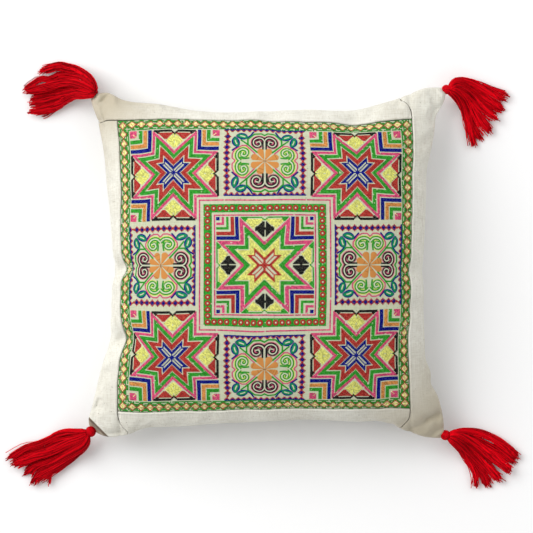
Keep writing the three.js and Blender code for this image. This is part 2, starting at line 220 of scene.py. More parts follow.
# The bottom left corner is tucked under a straight fold, where both shares together reach so far
TUCK_LINE = 1.895
TUCK_DROP = 7.0
TUCK_EDGE = 0.006

# The cloth's settling under the filling's pressure, simulated on every third line of the grid. The
# cloth is cut a share longer. Its broad swelling, the mean over a window of lines, is taken out,
# and the wrinkles that stay are capped in millimetres and kept in these shares.
SETTLE_STEP = 3
SETTLE_FRAMES = 20
SETTLE_PRESSURE = 4
SETTLE_SPARE = 0.035
SETTLE_WINDOW = 9
SETTLE_CAP = 5
SETTLE_BORDER = 0.7
SETTLE_PANEL = 0.2
SETTLE_QUALITY = 4
SETTLE_BENDING = 0.2
# Below this height the back lies on the floor and is held
LYING_BELOW = 0.5
# From the panel's share of the settling to the border's, between these shares
PANEL_TO_BORDER = (0.84, 0.92)

# Finer relief of the cloth, which the solids leave out: grooves along the sewn seams, the turned
# edges' ridges beside the panel and the filling's swells
SEWN_GROOVE = 1.4
SEWN_GROOVE_WIDTH = 1.7
SEAM_RIDGE = 1.2
SEAM_RIDGE_WIDTH = 1.2
SEAM_RIDGE_OFF = 2.2
SOFT_SWELL = 0.9
# Each swell is a share of the height, and two crossed waves as radians across and up and a start
SWELLS = (
    (1.0, (5.1, 1.3, 0.4), (-1.7, 4.3, 1.1)),
    (0.6, (9.7, -3.1, 0.0), (2.2, 8.3, 0.7)),
)
# Height over which the back's swells fade toward the floor
REST_FADE = 20


def smooth_column(column, at):
    """A smooth curve through one column of the outline, sloped at each row by its neighbours."""
    along = np.array(OUTLINE["along"])
    value = np.array(OUTLINE[column], dtype=float)
    before = np.maximum(np.arange(len(along)) - 1, 0)
    after = np.minimum(np.arange(len(along)) + 1, len(along) - 1)
    slope = (value[after] - value[before]) / (along[after] - along[before])
    i = np.clip(np.searchsorted(along, at) - 1, 0, len(along) - 2)
    span = along[i + 1] - along[i]
    t = (at - along[i]) / span
    start = value[i] * (2 * t**3 - 3 * t**2 + 1) + slope[i] * span * (t**3 - 2 * t**2 + t)
    end = value[i + 1] * (3 * t**2 - 2 * t**3) + slope[i + 1] * span * (t**3 - t**2)
    return start + end


def smooth_step(low, high, x):
    """0 below low, 1 above high and a soft rise between them."""
    t = np.clip((x - low) / (high - low), 0, 1)
    return t * t * (3 - 2 * t)


def drawn_in(share, reach):
    """Millimetres from the middle of a share, where the seam lies at the reach."""
    size = np.abs(share)
    return np.sign(share) * (PLAN_REACH * size - (PLAN_REACH - reach) * size**DRAW_IN_POWER)


def fall(share):
    """The crown's rounding from the middle, 1, to the seam, 0."""
    return np.maximum(0, 1 - share * share) ** ROUNDNESS


def filled_point(u, v, side):
    """The smooth filled form: side is 1 for the face and -1 for the back."""
    across = np.where(u > 0, smooth_column("right", v), smooth_column("left", v))
    up = np.where(v > 0, smooth_column("top", u), smooth_column("bottom", u))
    seam = SEAM_HEIGHT - CORNER_DROOP * np.abs(u * v) ** DROOP_POWER
    puff = fall(u) * fall(v)
    if side > 0:
        z = seam + SEAM_DEPTH / 2 + CROWN * puff
    else:
        z = np.maximum(0, seam - SEAM_DEPTH / 2 - UNDERSIDE * puff)
    return np.stack([drawn_in(u, across), drawn_in(v, up), z], axis=-1)


def outward(u, v, side):
    """The form's outward direction, read a little inside the side seams."""
    a, b = (np.clip(share, -SLOPE_LIMIT, SLOPE_LIMIT) for share in (u, v))
    along_u = filled_point(a + SHARE_STEP, b, side) - filled_point(a - SHARE_STEP, b, side)
    along_v = filled_point(a, b + SHARE_STEP, side) - filled_point(a, b - SHARE_STEP, side)
    normal = np.cross(along_u, along_v) * side
    return normal / np.linalg.norm(normal, axis=-1, keepdims=True)


def crease_depth(u, v):
    """How deep the troughs from the side seams lie at each place."""
    depth = np.zeros_like(u)
    for crease in CREASES:
        seam, inner = np.array(crease["seam"]), np.array(crease["inner"])
        run = inner - seam
        to_u, to_v = u - seam[0], v - seam[1]
        inwards = (to_u * run[0] + to_v * run[1]) / run.dot(run)
        aside = (to_u * run[1] - to_v * run[0]) / math.hypot(*run) * COVER / 2
        across = np.exp(-((aside / crease["wide"]) ** 2))
        deepening = CREASE_AT_SEAM + (1 - CREASE_AT_SEAM) * smooth_step(0, CREASE_DEEPEST, inwards)
        fading = 1 - smooth_step(CREASE_DEEPEST, 1, inwards)
        depth += crease["depth"] * across * deepening * fading
    return depth


def edge_pull(u, v):
    """How far the outline's pulls move each place, across and up."""
    pull = np.zeros((*u.shape, 2))
    for (at_u, at_v), move, reach in EDGE_PULLS:
        near = np.exp(-((u - at_u) ** 2 + (v - at_v) ** 2) / reach**2)
        pull += near[..., None] * move
    return pull


def from_path(u, v, path):
    """Distance in millimetres of flat cloth to a path of straight runs."""
    nearest = np.full(u.shape, np.inf)
    for (u0, v0), (u1, v1) in zip(path, path[1:]):
        run_u, run_v = u1 - u0, v1 - v0
        share = ((u - u0) * run_u + (v - v0) * run_v) / (run_u**2 + run_v**2)
        share = np.clip(share, 0, 1)
        nearest = np.minimum(nearest, np.hypot(u - u0 - share * run_u, v - v0 - share * run_v))
    return nearest * COVER / 2


def fold_height(u, v):
    """Height of the slack folds at the corners."""
    height = np.zeros_like(u)
    for fold in FOLDS:
        height += fold["height"] * np.exp(-((from_path(u, v, fold["path"]) / fold["wide"]) ** 2))
    corner = (u < 0) & (v < 0)
    past = smooth_step(-TUCK_EDGE, TUCK_EDGE, np.abs(u) + np.abs(v) - TUCK_LINE)
    return height - np.where(corner, past * TUCK_DROP, 0)


def fine_relief(u, v, side):
    """Depth of the sewn grooves, which only the face has, and of the filling's soft swells."""
    groove = np.zeros_like(u)
    for across, along, line, low, high in (
        (u, v, PANEL_EDGE, -1, 1),
        (u, v, -PANEL_EDGE, -1, PANEL_EDGE),
        (v, u, PANEL_EDGE, -1, PANEL_EDGE),
        (v, u, -PANEL_EDGE, -PANEL_EDGE, PANEL_EDGE),
    ):
        off = (across - line) * COVER / 2
        within = (along >= low) & (along <= high) & (side > 0)
        groove = np.maximum(groove, within * np.exp(-((off / SEWN_GROOVE_WIDTH) ** 2)))
    swell = np.zeros_like(u)
    for height, *waves in SWELLS:
        first, second = (np.sin(across * u + up * v + start) for across, up, start in waves)
        swell += height * first * second
    swell *= fall(u) * fall(v)
    return SEWN_GROOVE * groove + SOFT_SWELL * swell


def slid(u, v):
    """Where the pulled cloth lies on the form: its own shares, moved along the surface."""
    pull = np.zeros((*u.shape, 2))
    weight = np.full(u.shape, LEAST_WEIGHT)
    for (at_u, at_v), (right, up) in PULLS:
        near = np.exp(-((u - at_u) ** 2 + (v - at_v) ** 2) / (2 * PULL_REACH**2))
        weight += near
        pull += near[..., None] * (right, up)
    pull /= weight[..., None]
    for (at_u, at_v), (right, up) in SEAM_ENDS:
        near = np.exp(-((u - at_u) ** 2 + (v - at_v) ** 2) / SEAM_END_REACH**2)
        pull += near[..., None] * (right, up)
    shares = []
    for axis, share in enumerate((u, v)):
        step_u, step_v = (SHARE_STEP, 0) if axis == 0 else (0, SHARE_STEP)
        after = filled_point(u + step_u, v + step_v, 1)
        before = filled_point(u - step_u, v - step_v, 1)
        slope = np.maximum((after - before)[..., axis] / (2 * SHARE_STEP), SHARE_LEAST_MM)
        fade = 1 - smooth_step(*PULL_FADE, np.abs(share))
        shares.append(np.clip(share + pull[..., axis] * fade / slope, -1, 1))
    return shares


def averaged(grid, window):
    """Each place's mean over a square window of a grid of vectors."""
    half = window // 2
    for axis in (0, 1):
        padding = [(half + 1, half) if k == axis else (0, 0) for k in range(3)]
        total = np.cumsum(np.pad(grid, padding, mode="edge"), axis=axis)
        total = np.moveaxis(total, axis, 0)
        grid = np.moveaxis((total[window:] - total[:-window]) / window, 0, axis)
    return grid


def curve_through(keys, at):
    """Smooth curves through the keys of each row, read at the given key numbers."""
    last = keys.shape[1] - 1
    i = np.clip(at.astype(int), 0, last - 1)
    t = (at - i)[None, :, None]
    p0, p1 = keys[:, np.maximum(i - 1, 0)], keys[:, i]
    p2, p3 = keys[:, i + 1], keys[:, np.minimum(i + 2, last)]
    return 0.5 * (
        2 * p1 + (p2 - p0) * t + (2 * p0 - 5 * p1 + 4 * p2 - p3) * t**2 + (3 * p1 - p0 - 3 * p2 + p3) * t**3
    )


class Cushion:
    """The cushion's face and back on a fine grid, from which every piece takes its places."""

    LINES = 361

    def __init__(self):
        lines = np.linspace(-1, 1, self.LINES)
        u, v = np.meshgrid(lines, lines, indexing="ij")
        self.shares = {1: slid(u, v), -1: (u, v)}
        self.normal = {side: outward(*shares, side) for side, shares in self.shares.items()}
        self.place = {side: filled_point(*shares, side) for side, shares in self.shares.items()}
        self.place[1] -= self.normal[1] * crease_depth(*self.shares[1])[..., None]
        for side in (1, -1):
            self.place[side][..., :2] += edge_pull(u, v)

    def settle(self):
        """Lets the cloth, which is cut a little long, settle under the filling's pressure."""
        count = (self.LINES - 1) // SETTLE_STEP + 1
        sides = [self.place[side][::SETTLE_STEP, ::SETTLE_STEP] for side in (1, -1)]
        points = np.concatenate([grid.transpose(1, 0, 2).reshape(-1, 3) for grid in sides]) * MM
        form = mesh_piece("settling", points, slab_faces(count, count), [])
        rim = np.ones((count, count), dtype=bool)
        rim[1:-1, 1:-1] = False
        held = np.tile(rim.ravel(), 2) | (points[:, 2] < LYING_BELOW * MM)
        form.vertex_groups.new(name="sewn").add(np.flatnonzero(held).tolist(), 1.0, "REPLACE")
        cloth = form.modifiers.new("Cloth", "CLOTH")
        cloth.settings.use_pressure = True
        cloth.settings.uniform_pressure_force = SETTLE_PRESSURE
        cloth.settings.effector_weights.gravity = 0
        cloth.settings.shrink_min = -SETTLE_SPARE
        cloth.settings.shrink_max = -SETTLE_SPARE
        cloth.settings.vertex_group_mass = "sewn"
        cloth.settings.quality = SETTLE_QUALITY
        cloth.settings.bending_stiffness = SETTLE_BENDING
        cloth.point_cache.frame_end = SETTLE_FRAMES
        for step in range(1, SETTLE_FRAMES + 1):
            bpy.context.scene.frame_set(step)
        bpy.ops.object.select_all(action="DESELECT")
        form.select_set(True)
        bpy.context.view_layer.objects.active = form
        bpy.ops.object.modifier_apply(modifier=cloth.name)
        settled = np.empty(points.size)
        form.data.vertices.foreach_get("co", settled)
        bpy.data.objects.remove(form)
        bpy.context.scene.frame_set(1)
        moves = (settled.reshape(2, count, count, 3) - points.reshape(2, count, count, 3)) / MM
        at = np.linspace(0, count - 1, self.LINES)
        lines = np.abs(np.linspace(-1, 1, self.LINES))
        border = smooth_step(*PANEL_TO_BORDER, np.maximum(lines[:, None], lines))
        kept = SETTLE_PANEL + (SETTLE_BORDER - SETTLE_PANEL) * border
        for side, move in zip((1, -1), moves.transpose(0, 2, 1, 3)):
            fine = move - averaged(move, SETTLE_WINDOW)
            size = np.linalg.norm(fine, axis=-1, keepdims=True)
            fine *= np.minimum(1, SETTLE_CAP / np.maximum(size, TINY))
            fine = curve_through(curve_through(fine, at).transpose(1, 0, 2), at)
            self.place[side] += fine.transpose(1, 0, 2) * kept[..., None]

    def sew(self):
        """Draws in the seams and lays the slack folds."""
        face_in = fine_relief(*self.shares[1], 1)
        back_in = fine_relief(*self.shares[-1], -1) * smooth_step(0, REST_FADE, self.place[-1][..., 2])
        for side, inwards in ((1, face_in), (-1, back_in)):
            self.place[side] -= self.normal[side] * inwards[..., None]
        self.place[1][..., 2] += fold_height(*self.shares[1])
        for side in (1, -1):
            self.place[side][..., 2] = np.maximum(self.place[side][..., 2], 0)

    def at(self, u, v, lift=0.0, side=1):
        """Places above the face or back by a lift, in metres."""
        span = self.LINES - 1
        a = np.clip((np.asarray(u) + 1) / 2 * span, 0, span - TINY)
        b = np.clip((np.asarray(v) + 1) / 2 * span, 0, span - TINY)
        i, j = a.astype(int), b.astype(int)
        s, t = (a - i)[..., None], (b - j)[..., None]

        def mixed(grid):
            low = grid[i, j] * (1 - s) + grid[i + 1, j] * s
            high = grid[i, j + 1] * (1 - s) + grid[i + 1, j + 1] * s
            return low * (1 - t) + high * t

        lift = np.broadcast_to(np.asarray(lift, dtype=float), np.shape(a))[..., None]
        return (mixed(self.place[side]) + mixed(self.normal[side]) * lift) * MM


CUSHION = Cushion()


def mesh_piece(name, points, faces, materials, which=None, smooth=True):
    """A mesh object from arrays of points and of faces with one number of corners."""
    mesh = bpy.data.meshes.new(name)
    faces = np.asarray(faces)
    count, corners = faces.shape
    mesh.vertices.add(len(points))
    mesh.vertices.foreach_set("co", np.asarray(points, dtype=np.float32).ravel())
    mesh.loops.add(count * corners)
    mesh.loops.foreach_set("vertex_index", faces.astype(np.int32).ravel())
    mesh.polygons.add(count)
    mesh.polygons.foreach_set("loop_start", np.arange(0, count * corners, corners, dtype=np.int32))
    for material in materials:
        mesh.materials.append(material)
    if which is not None:
        mesh.polygons.foreach_set("material_index", np.asarray(which, dtype=np.int32))
    mesh.update(calc_edges=True)
    mesh.validate()
    piece = bpy.data.objects.new(name, mesh)
    bpy.context.collection.objects.link(piece)
    if smooth:
        mesh.shade_smooth()
    return piece


def slab_faces(columns, rows):
    """Quads of a closed slab whose upper and lower grids follow each other, rows of columns."""
    i, j = np.meshgrid(np.arange(columns - 1), np.arange(rows - 1))
    i, j = i.ravel(), j.ravel()
    size = columns * rows
    a, b, c, d = j * columns + i, j * columns + i + 1, (j + 1) * columns + i + 1, (j + 1) * columns + i
    quads = [np.stack([a, b, c, d], 1), np.stack([a, d, c, b], 1) + size]
    i, j = np.arange(columns - 1), np.arange(rows - 1)
    top, right = (rows - 1) * columns, columns - 1
    quads.append(np.stack([i, i + size, i + 1 + size, i + 1], 1))
    quads.append(np.stack([top + i + 1, top + i + 1 + size, top + i + size, top + i], 1))
    low, high = j * columns, (j + 1) * columns
    quads.append(np.stack([high, high + size, low + size, low], 1))
    quads.append(np.stack([low + right, low + right + size, high + right + size, high + right], 1))
    return np.concatenate(quads)


def slab_piece(name, us, vs, upper, lower, material):
    """A closed slab of cloth or filling between two surfaces over a grid of shares."""
    v, u = np.meshgrid(vs, us, indexing="ij")
    points = np.concatenate([upper(u, v).reshape(-1, 3), lower(u, v).reshape(-1, 3)])
    return mesh_piece(name, points, slab_faces(len(us), len(vs)), [material])


def lines_between(low, high, count, crowd):
    """Shares from low to high, closer together at the two ends."""
    t = np.linspace(-1, 1, count)
    t = np.sign(t) * (1 - (1 - np.abs(t)) ** crowd) * 0.5 + t * 0.5
    return low + (high - low) * (t + 1) / 2


# Finishes

CLOTH_SPECULAR = 0.06
THREAD_ROUGHNESS = 0.8


class Value:
    """An output of a shader node, on which plain arithmetic adds Math nodes."""

    def __init__(self, finish, socket):
        self.finish, self.socket = finish, socket

    def _math(self, operation, first, second):
        return self.finish.node("ShaderNodeMath", {"operation": operation}, {0: first, 1: second})

    def __add__(self, other):
        return self._math("ADD", self, other)

    def __radd__(self, other):
        return self._math("ADD", other, self)

    def __sub__(self, other):
        return self._math("SUBTRACT", self, other)

    def __rsub__(self, other):
        return self._math("SUBTRACT", other, self)

    def __mul__(self, other):
        return self._math("MULTIPLY", self, other)

    def __rmul__(self, other):
        return self._math("MULTIPLY", other, self)


class Finish:
    """A material round one Principled shader."""

    def __init__(self, name, color, roughness, sheen=0.0):
        self.material = bpy.data.materials.new(name)
        self.material.use_nodes = True
        self.tree = self.material.node_tree
        self.shader = next(n for n in self.tree.nodes if n.type == "BSDF_PRINCIPLED")
        self.set("Base Color", (*color, 1))
        self.set("Roughness", roughness)
        self.set("Sheen Weight", sheen)
        self.set("Specular IOR Level", CLOTH_SPECULAR)

    def set(self, socket, value):
        if isinstance(value, Value):
            self.tree.links.new(value.socket, self.shader.inputs[socket])
        else:
            self.shader.inputs[socket].default_value = value

    def node(self, kind, settings=None, inputs=None, output=0):
        made = self.tree.nodes.new(kind)
        for key, value in (settings or {}).items():
            setattr(made, key, value)
        for key, value in (inputs or {}).items():
            if isinstance(value, Value):
                self.tree.links.new(value.socket, made.inputs[key])
            else:
                made.inputs[key].default_value = value
        return Value(self, made.outputs[output])

    def place(self):
        return self.node("ShaderNodeTexCoord", output="Object")

    def scaled(self, vector, scale):
        return self.node("ShaderNodeMapping", {"vector_type": "POINT"}, {"Vector": vector, "Scale": scale})

    def noise(self, vector, scale, detail):
        return self.node("ShaderNodeTexNoise", {}, {"Vector": vector, "Scale": scale, "Detail": detail})

    def axes(self, vector):
        first = self.node("ShaderNodeSeparateXYZ", {}, {"Vector": vector})
        return [Value(self, out) for out in first.socket.node.outputs]

    def sine(self, value):
        return self.node("ShaderNodeMath", {"operation": "SINE"}, {0: value})

    def size(self, value):
        return self.node("ShaderNodeMath", {"operation": "ABSOLUTE"}, {0: value})

    def inside_one(self, value):
        """The value held between 0 and 1."""
        return self.node("ShaderNodeClamp", {}, {"Value": value})

    def mix(self, factor, first, second):
        """One colour over another. Of a Mix node's like-named sockets only the colours' are enabled."""
        made = self.node("ShaderNodeMix", {"data_type": "RGBA"}).socket.node
        for key, value in {"Factor": factor, "A": first, "B": second}.items():
            socket = next(s for s in made.inputs if s.name == key and s.enabled)
            if isinstance(value, Value):
                self.tree.links.new(value.socket, socket)
            elif key == "Factor":
                socket.default_value = value
            else:
                socket.default_value = (*value, 1)
        return Value(self, next(s for s in made.outputs if s.enabled))

    def bump(self, height, distance, strength):
        inputs = {"Height": height, "Distance": distance, "Strength": strength}
        self.set("Normal", self.node("ShaderNodeBump", {}, inputs))


# The linen's weave and slubs, with the noises' scales to a metre
LINEN_ROUGHNESS = 0.92
LINEN_SHEEN = 0.25
WEAVE_PITCH = 0.0011
SLUB_LENGTH = 45
SLUB_WIDTH = 900
SLUB_UP = 200
SLUB_SHADE = 2.6
CLOUD_SCALE = 14.0
CLOUD_SHADE = 1.1
NOISE_DETAIL = 3.0
WEAVE_RELIEF = 0.25
SLUB_RELIEF = 1.6
RELIEF_DISTANCE = 0.0004
RELIEF_STRENGTH = 0.8
SPECK_SCALE = 520
SPECK_TONE = 0.55
SPECK_ABOVE = 0.775
SPECK_EDGE = 9
# Painted shade at the corners: where it starts, how fast it deepens, its share, its unevenness and its tone
CORNER_SHADE_FROM = 0.29
CORNER_SHADE_OVER = 0.1
CORNER_SHADE_SHARE = 0.47
CORNER_SHADE_UNEVEN = 11.0
CORNER_SHADE_TONE = (0.62, 0.56, 0.47)
# Painted shade under the tucked corner and a painted shadow line along its fold: where they start, how
# sharp, their tones and shares
TUCKED_FROM = 0.4105
TUCKED_SHADE_TONE = (0.42, 0.33, 0.23)
TUCKED_SHADE_SHARE = 0.85
TUCK_SHARPNESS = 900
TUCK_SHADOW_WIDTH = 0.0032
TUCK_SHADOW_TONE = (0.13, 0.085, 0.055)
TUCK_SHADOW_SHARE = 0.9


def linen(name, light, dark, contrast):
    """Plain-woven cloth with slubs along both sets of threads, with painted shade at the corners and under
    the tucked corner.
    """
    finish = Finish(name, light, LINEN_ROUGHNESS, LINEN_SHEEN)
    place = finish.place()
    x, y, _ = finish.axes(place)
    turns = 2 * math.pi / WEAVE_PITCH
    weave = finish.sine(x * turns) * finish.sine(y * turns)
    across = finish.noise(finish.scaled(place, (SLUB_LENGTH, SLUB_WIDTH, SLUB_UP)), 1.0, NOISE_DETAIL)
    up = finish.noise(finish.scaled(place, (SLUB_WIDTH, SLUB_LENGTH, SLUB_UP)), 1.0, NOISE_DETAIL)
    slub = (across + up) * 0.5
    cloud = finish.noise(place, CLOUD_SCALE, NOISE_DETAIL)
    shade = (slub - 0.5) * SLUB_SHADE + (cloud - 0.5) * CLOUD_SHADE + 0.5 * contrast
    cloth = finish.mix(shade, light, dark)
    speck = (finish.noise(place, SPECK_SCALE, 0.0) - SPECK_ABOVE) * SPECK_EDGE
    cloth = finish.mix(speck, cloth, tuple(c * SPECK_TONE for c in dark))
    # Painted shade: the corners are darker and warmer, two of them more than the others
    outer = finish.inside_one((finish.size(x) + finish.size(y) - CORNER_SHADE_FROM) * (1 / CORNER_SHADE_OVER))
    corner_shade = outer * (0.5 + cloud) * (CORNER_SHADE_SHARE - x * y * CORNER_SHADE_UNEVEN)
    cloth = finish.mix(corner_shade, cloth, tuple(c * share for c, share in zip(light, CORNER_SHADE_TONE)))
    # Painted shade on the cloth under the tucked corner, and a painted shadow line along its fold
    tucked = finish.inside_one((x * -1 - y - TUCKED_FROM) * TUCK_SHARPNESS)
    under = tuple(c * share for c, share in zip(light, TUCKED_SHADE_TONE))
    cloth = finish.mix(tucked * TUCKED_SHADE_SHARE, cloth, under)
    beside = finish.inside_one(2 - (x * -1 - y - TUCKED_FROM) * (1 / TUCK_SHADOW_WIDTH))
    fold_shadow = tuple(c * share for c, share in zip(light, TUCK_SHADOW_TONE))
    cloth = finish.mix(tucked * beside * TUCK_SHADOW_SHARE, cloth, fold_shadow)
    finish.set("Base Color", cloth)
    finish.bump(weave * WEAVE_RELIEF + slub * SLUB_RELIEF, RELIEF_DISTANCE, RELIEF_STRENGTH)
    return finish.material


# Stitching

# The panel's cells of one cross stitch each, and how many fit between its middle and its seam
CELLS_TO_SEAM = 129.4
SHARE_PER_CELL = PANEL_EDGE / CELLS_TO_SEAM
CELLS = 258
MISSED_SEED = 3
STITCH_SEED = 7

THREADS = (
    "green",
    "pink",
    "blue",
    "red",
    "orange",
    "yellow",
    "black",
    "edge_green",
    "cream",
    "leaf",
)
THREAD = {name: code for code, name in enumerate(THREADS, start=1)}

# Shares of the stitches that the maker left out
MISSED = {"edge_green": 0.09, "green": 0.02, "pink": 0.012, "cream": 0.02}

# The panel's edge, in cells
BAND_CELLS = 10
DIAMOND_PITCH = 8
FIRST_DIAMOND = 124
DIAMOND_LINE = 124.5
# How far each part of a diamond reaches along the edge and across it, in cells
RED_DIAMOND = (4.6, 3.7)
CREAM_DIAMOND = (3.4, 3.3)
YELLOW_MIDDLE = (2, 0.5)
BARE_POINT = (2, 3.5)
HALF_CELL = 0.5

# The stars, in cells: how far out each star's arms' sides and valleys lie, its small star, and the
# L-shaped bands outside its arms. The triangles between the arms count in from the star's square.
CORNER_STAR_AT = 78.5
CORNER_STAR_HALF = 39
CORNER_ARM = 19.5
CORNER_STARS = (
    (CORNER_ARM, CORNER_ARM, "pink"),
    (17.5, 16.5, None),
    (16.5, 16.5, "green"),
    (13.5, 12.5, None),
    (12.5, 11.5, "red"),
    (9.5, 6.5, None),
)
CORNER_SMALL_STAR = (8.5, 5.5)
CORNER_BANDS = ((1, 4, "blue"), (5, 8, "orange"), (9.2, 12, "green"), (13.6, 30, "pink"))
CORNER_MARK = (14.4, 17)
CORNER_TRIANGLE = {
    "notch": 3.2,
    "notch_slope": 0.9,
    "line": 2,
    "line_end": 18.5,
    "diamond_at": 10.3,
    "diamond": 7.4,
    "beside_diamond": 8.2,
    "red": (3, 8.7),
    "red_side": 17.7,
    "red_split": 1.6,
    "yellow_side": 17.9,
    "bare_every": 3,
    "wedge": 4.6,
    "wedge_from": 12.6,
    "wedge_to": 19,
}
CENTRE_STAR_HALF = 42
CENTRE_ARM = 21
CENTRE_STARS = (
    (CENTRE_ARM, 20.5, "pink"),
    (18, 17.5, None),
    (17, 17.5, "green"),
    (14, 12.5, None),
    (13, 11.5, "yellow"),
)
CENTRE_SMALL_STAR = (9, 6.5)
CENTRE_BANDS = ((1, 4, "blue"), (5, 8, "red"), (10, 12, "green"), (14, 16, "pink"), (18, 21, "blue"))
CENTRE_TRIANGLE = {
    "diamond_at": 10.4,
    "diamond": (9, 7.4),
    "diamond_blunt": (7.8, 6.2),
    "beside_diamond": 1.13,
    "yellow": (2, 9.8),
    "yellow_side": 19.4,
    "yellow_split": 1.2,
    "notch": 2.4,
    "line": 1.1,
    "wedge": 4.4,
    "wedge_from": 13.2,
    "side": 20,
}
WEDGE_SLOPE = 0.5

# The bare bars in a small star's arms: how far they stay from its sides, valleys, axes and tips
SPLIT_FROM_SIDE = 0.6
SPLIT_FROM_VALLEY = 2.6
SPLIT_FROM_AXIS = 0.8
SPLIT_FROM_TIP = 1

SQUARE_LINES = (56.5, 43.5)
RING_BAND = (46, 53)
RING_LINE = 49.6
RINGS_PER_SIDE = 18
RING_GAPS = (4, 8, 13)
RING_GAP = 1.5
FLOWER_FRAME = {"inner": 60.5, "outer": 118.5, "half": 35.4, "chain": 32.1, "first": 6, "clear": 3}
FLOWER_AT = 89.6
CHAIN_PITCH = 5
CHAIN_RED = 3.3
CHAIN_BLUE = 2.3
HALF_CHAIN = 3.6
LINE_HALF = 0.6


def set_where(chart, where, thread):
    """Works a thread where the chart is marked, or leaves the cloth bare for None."""
    chart[where] = THREAD[thread] if thread else 0


def chart_border(chart, x, y):
    """The panel's edge: cream diamonds with a yellow middle, outlined in red on green."""
    band = np.maximum(np.abs(x), np.abs(y)) > CELLS / 2 - BAND_CELLS
    set_where(chart, band, "edge_green")
    # The rows of diamonds at the sides take the corners in, and the other two stop short of them
    for across, along, end in ((x, y, 0.5), (y, x, -0.5)):
        off = np.abs(np.abs(across) - DIAMOND_LINE)
        phase = (along - FIRST_DIAMOND) / DIAMOND_PITCH
        step = np.abs(phase - np.round(phase)) * DIAMOND_PITCH
        within = band & (off < BAND_CELLS / 2) & (np.abs(along) < FIRST_DIAMOND + end * DIAMOND_PITCH)
        set_where(chart, within & (step > BARE_POINT[0]) & (off > BARE_POINT[1]), None)
        for (along_reach, across_reach), thread in ((RED_DIAMOND, "red"), (CREAM_DIAMOND, "cream")):
            set_where(chart, within & (step / along_reach + off / across_reach < 1), thread)
        set_where(chart, within & (step < YELLOW_MIDDLE[0]) & (off < YELLOW_MIDDLE[1]), "yellow")


def low_and_high(x, y):
    """The lesser and the greater of the distances across and up from a star's middle."""
    return np.minimum(np.abs(x), np.abs(y)), np.maximum(np.abs(x), np.abs(y))


def chart_nested_stars(chart, here, low, high, stars):
    """Eight-pointed stars one inside another: how far out the arms' sides and the valleys lie."""
    for arm, valley, thread in stars:
        set_where(chart, here & (low < arm) & (high - low < valley), thread)


def chart_small_star(chart, here, low, high, thread, arm, valley):
    """The small star in the middle of a star, its arms split by two bare bars each."""
    off_side = high - low
    inside = here & (low < arm) & (off_side < valley)
    set_where(chart, inside, thread)
    bars = inside & (off_side > SPLIT_FROM_SIDE) & (off_side < valley - SPLIT_FROM_VALLEY)
    set_where(chart, bars & (low > SPLIT_FROM_AXIS) & (low < arm - SPLIT_FROM_TIP), None)


def chart_bands(chart, corner, outside, bands):
    """L-shaped bands: how far outside the arms each one starts and ends, and its thread."""
    for top, bottom, thread in bands:
        set_where(chart, corner & (outside >= top) & (outside < bottom), thread)


def chart_corner_star(chart, x, y, side_x, side_y):
    """A corner star in its square, with bands in the corners that don't face the panel's middle."""
    dx, dy = x - side_x * CORNER_STAR_AT, y - side_y * CORNER_STAR_AT
    here = (np.abs(dx) <= CORNER_STAR_HALF) & (np.abs(dy) <= CORNER_STAR_HALF)
    low, high = low_and_high(dx, dy)
    chart_nested_stars(chart, here, low, high, CORNER_STARS)
    chart_small_star(chart, here, low, high, "blue", *CORNER_SMALL_STAR)
    outside = low - CORNER_ARM
    facing = (dx * side_x < 0) & (dy * side_y < 0)
    corner = here & (outside > 0) & ~facing
    chart_bands(chart, corner, outside, CORNER_BANDS)
    mark = corner & (outside > CORNER_MARK[0]) & (outside < CORNER_MARK[1])
    set_where(chart, mark & (np.abs(np.abs(dx) - np.abs(dy)) < HALF_CELL), "cream")
    # The triangles between the arms
    fill = CORNER_TRIANGLE
    from_edge, aside = CORNER_STAR_HALF + HALF_CELL - high, low
    between = here & (high - low >= CORNER_ARM)
    notch = np.maximum(0, fill["notch"] - aside) * fill["notch_slope"]
    line = between & (from_edge >= notch) & (from_edge < notch + fill["line"]) & (aside <= fill["line_end"])
    diamond = aside + np.abs(from_edge - fill["diamond_at"])
    red_from, red_to = fill["red"]
    red = between & (from_edge > red_from) & (from_edge < red_to) & (diamond > fill["beside_diamond"])
    set_where(chart, red & (aside <= fill["red_side"] - from_edge) & (aside > fill["red_split"]), "red")
    yellow = between & (diamond < fill["diamond"]) & (aside < fill["yellow_side"] - from_edge)
    set_where(chart, yellow, "yellow")
    bare = yellow & (aside < HALF_CELL) & (np.round(from_edge) % fill["bare_every"] < 1)
    set_where(chart, bare, None)
    wedge = between & (from_edge < fill["wedge"]) & (aside <= fill["wedge_to"] - from_edge)
    wedge &= aside >= fill["wedge_from"] + WEDGE_SLOPE * from_edge
    set_where(chart, line | wedge, "black")


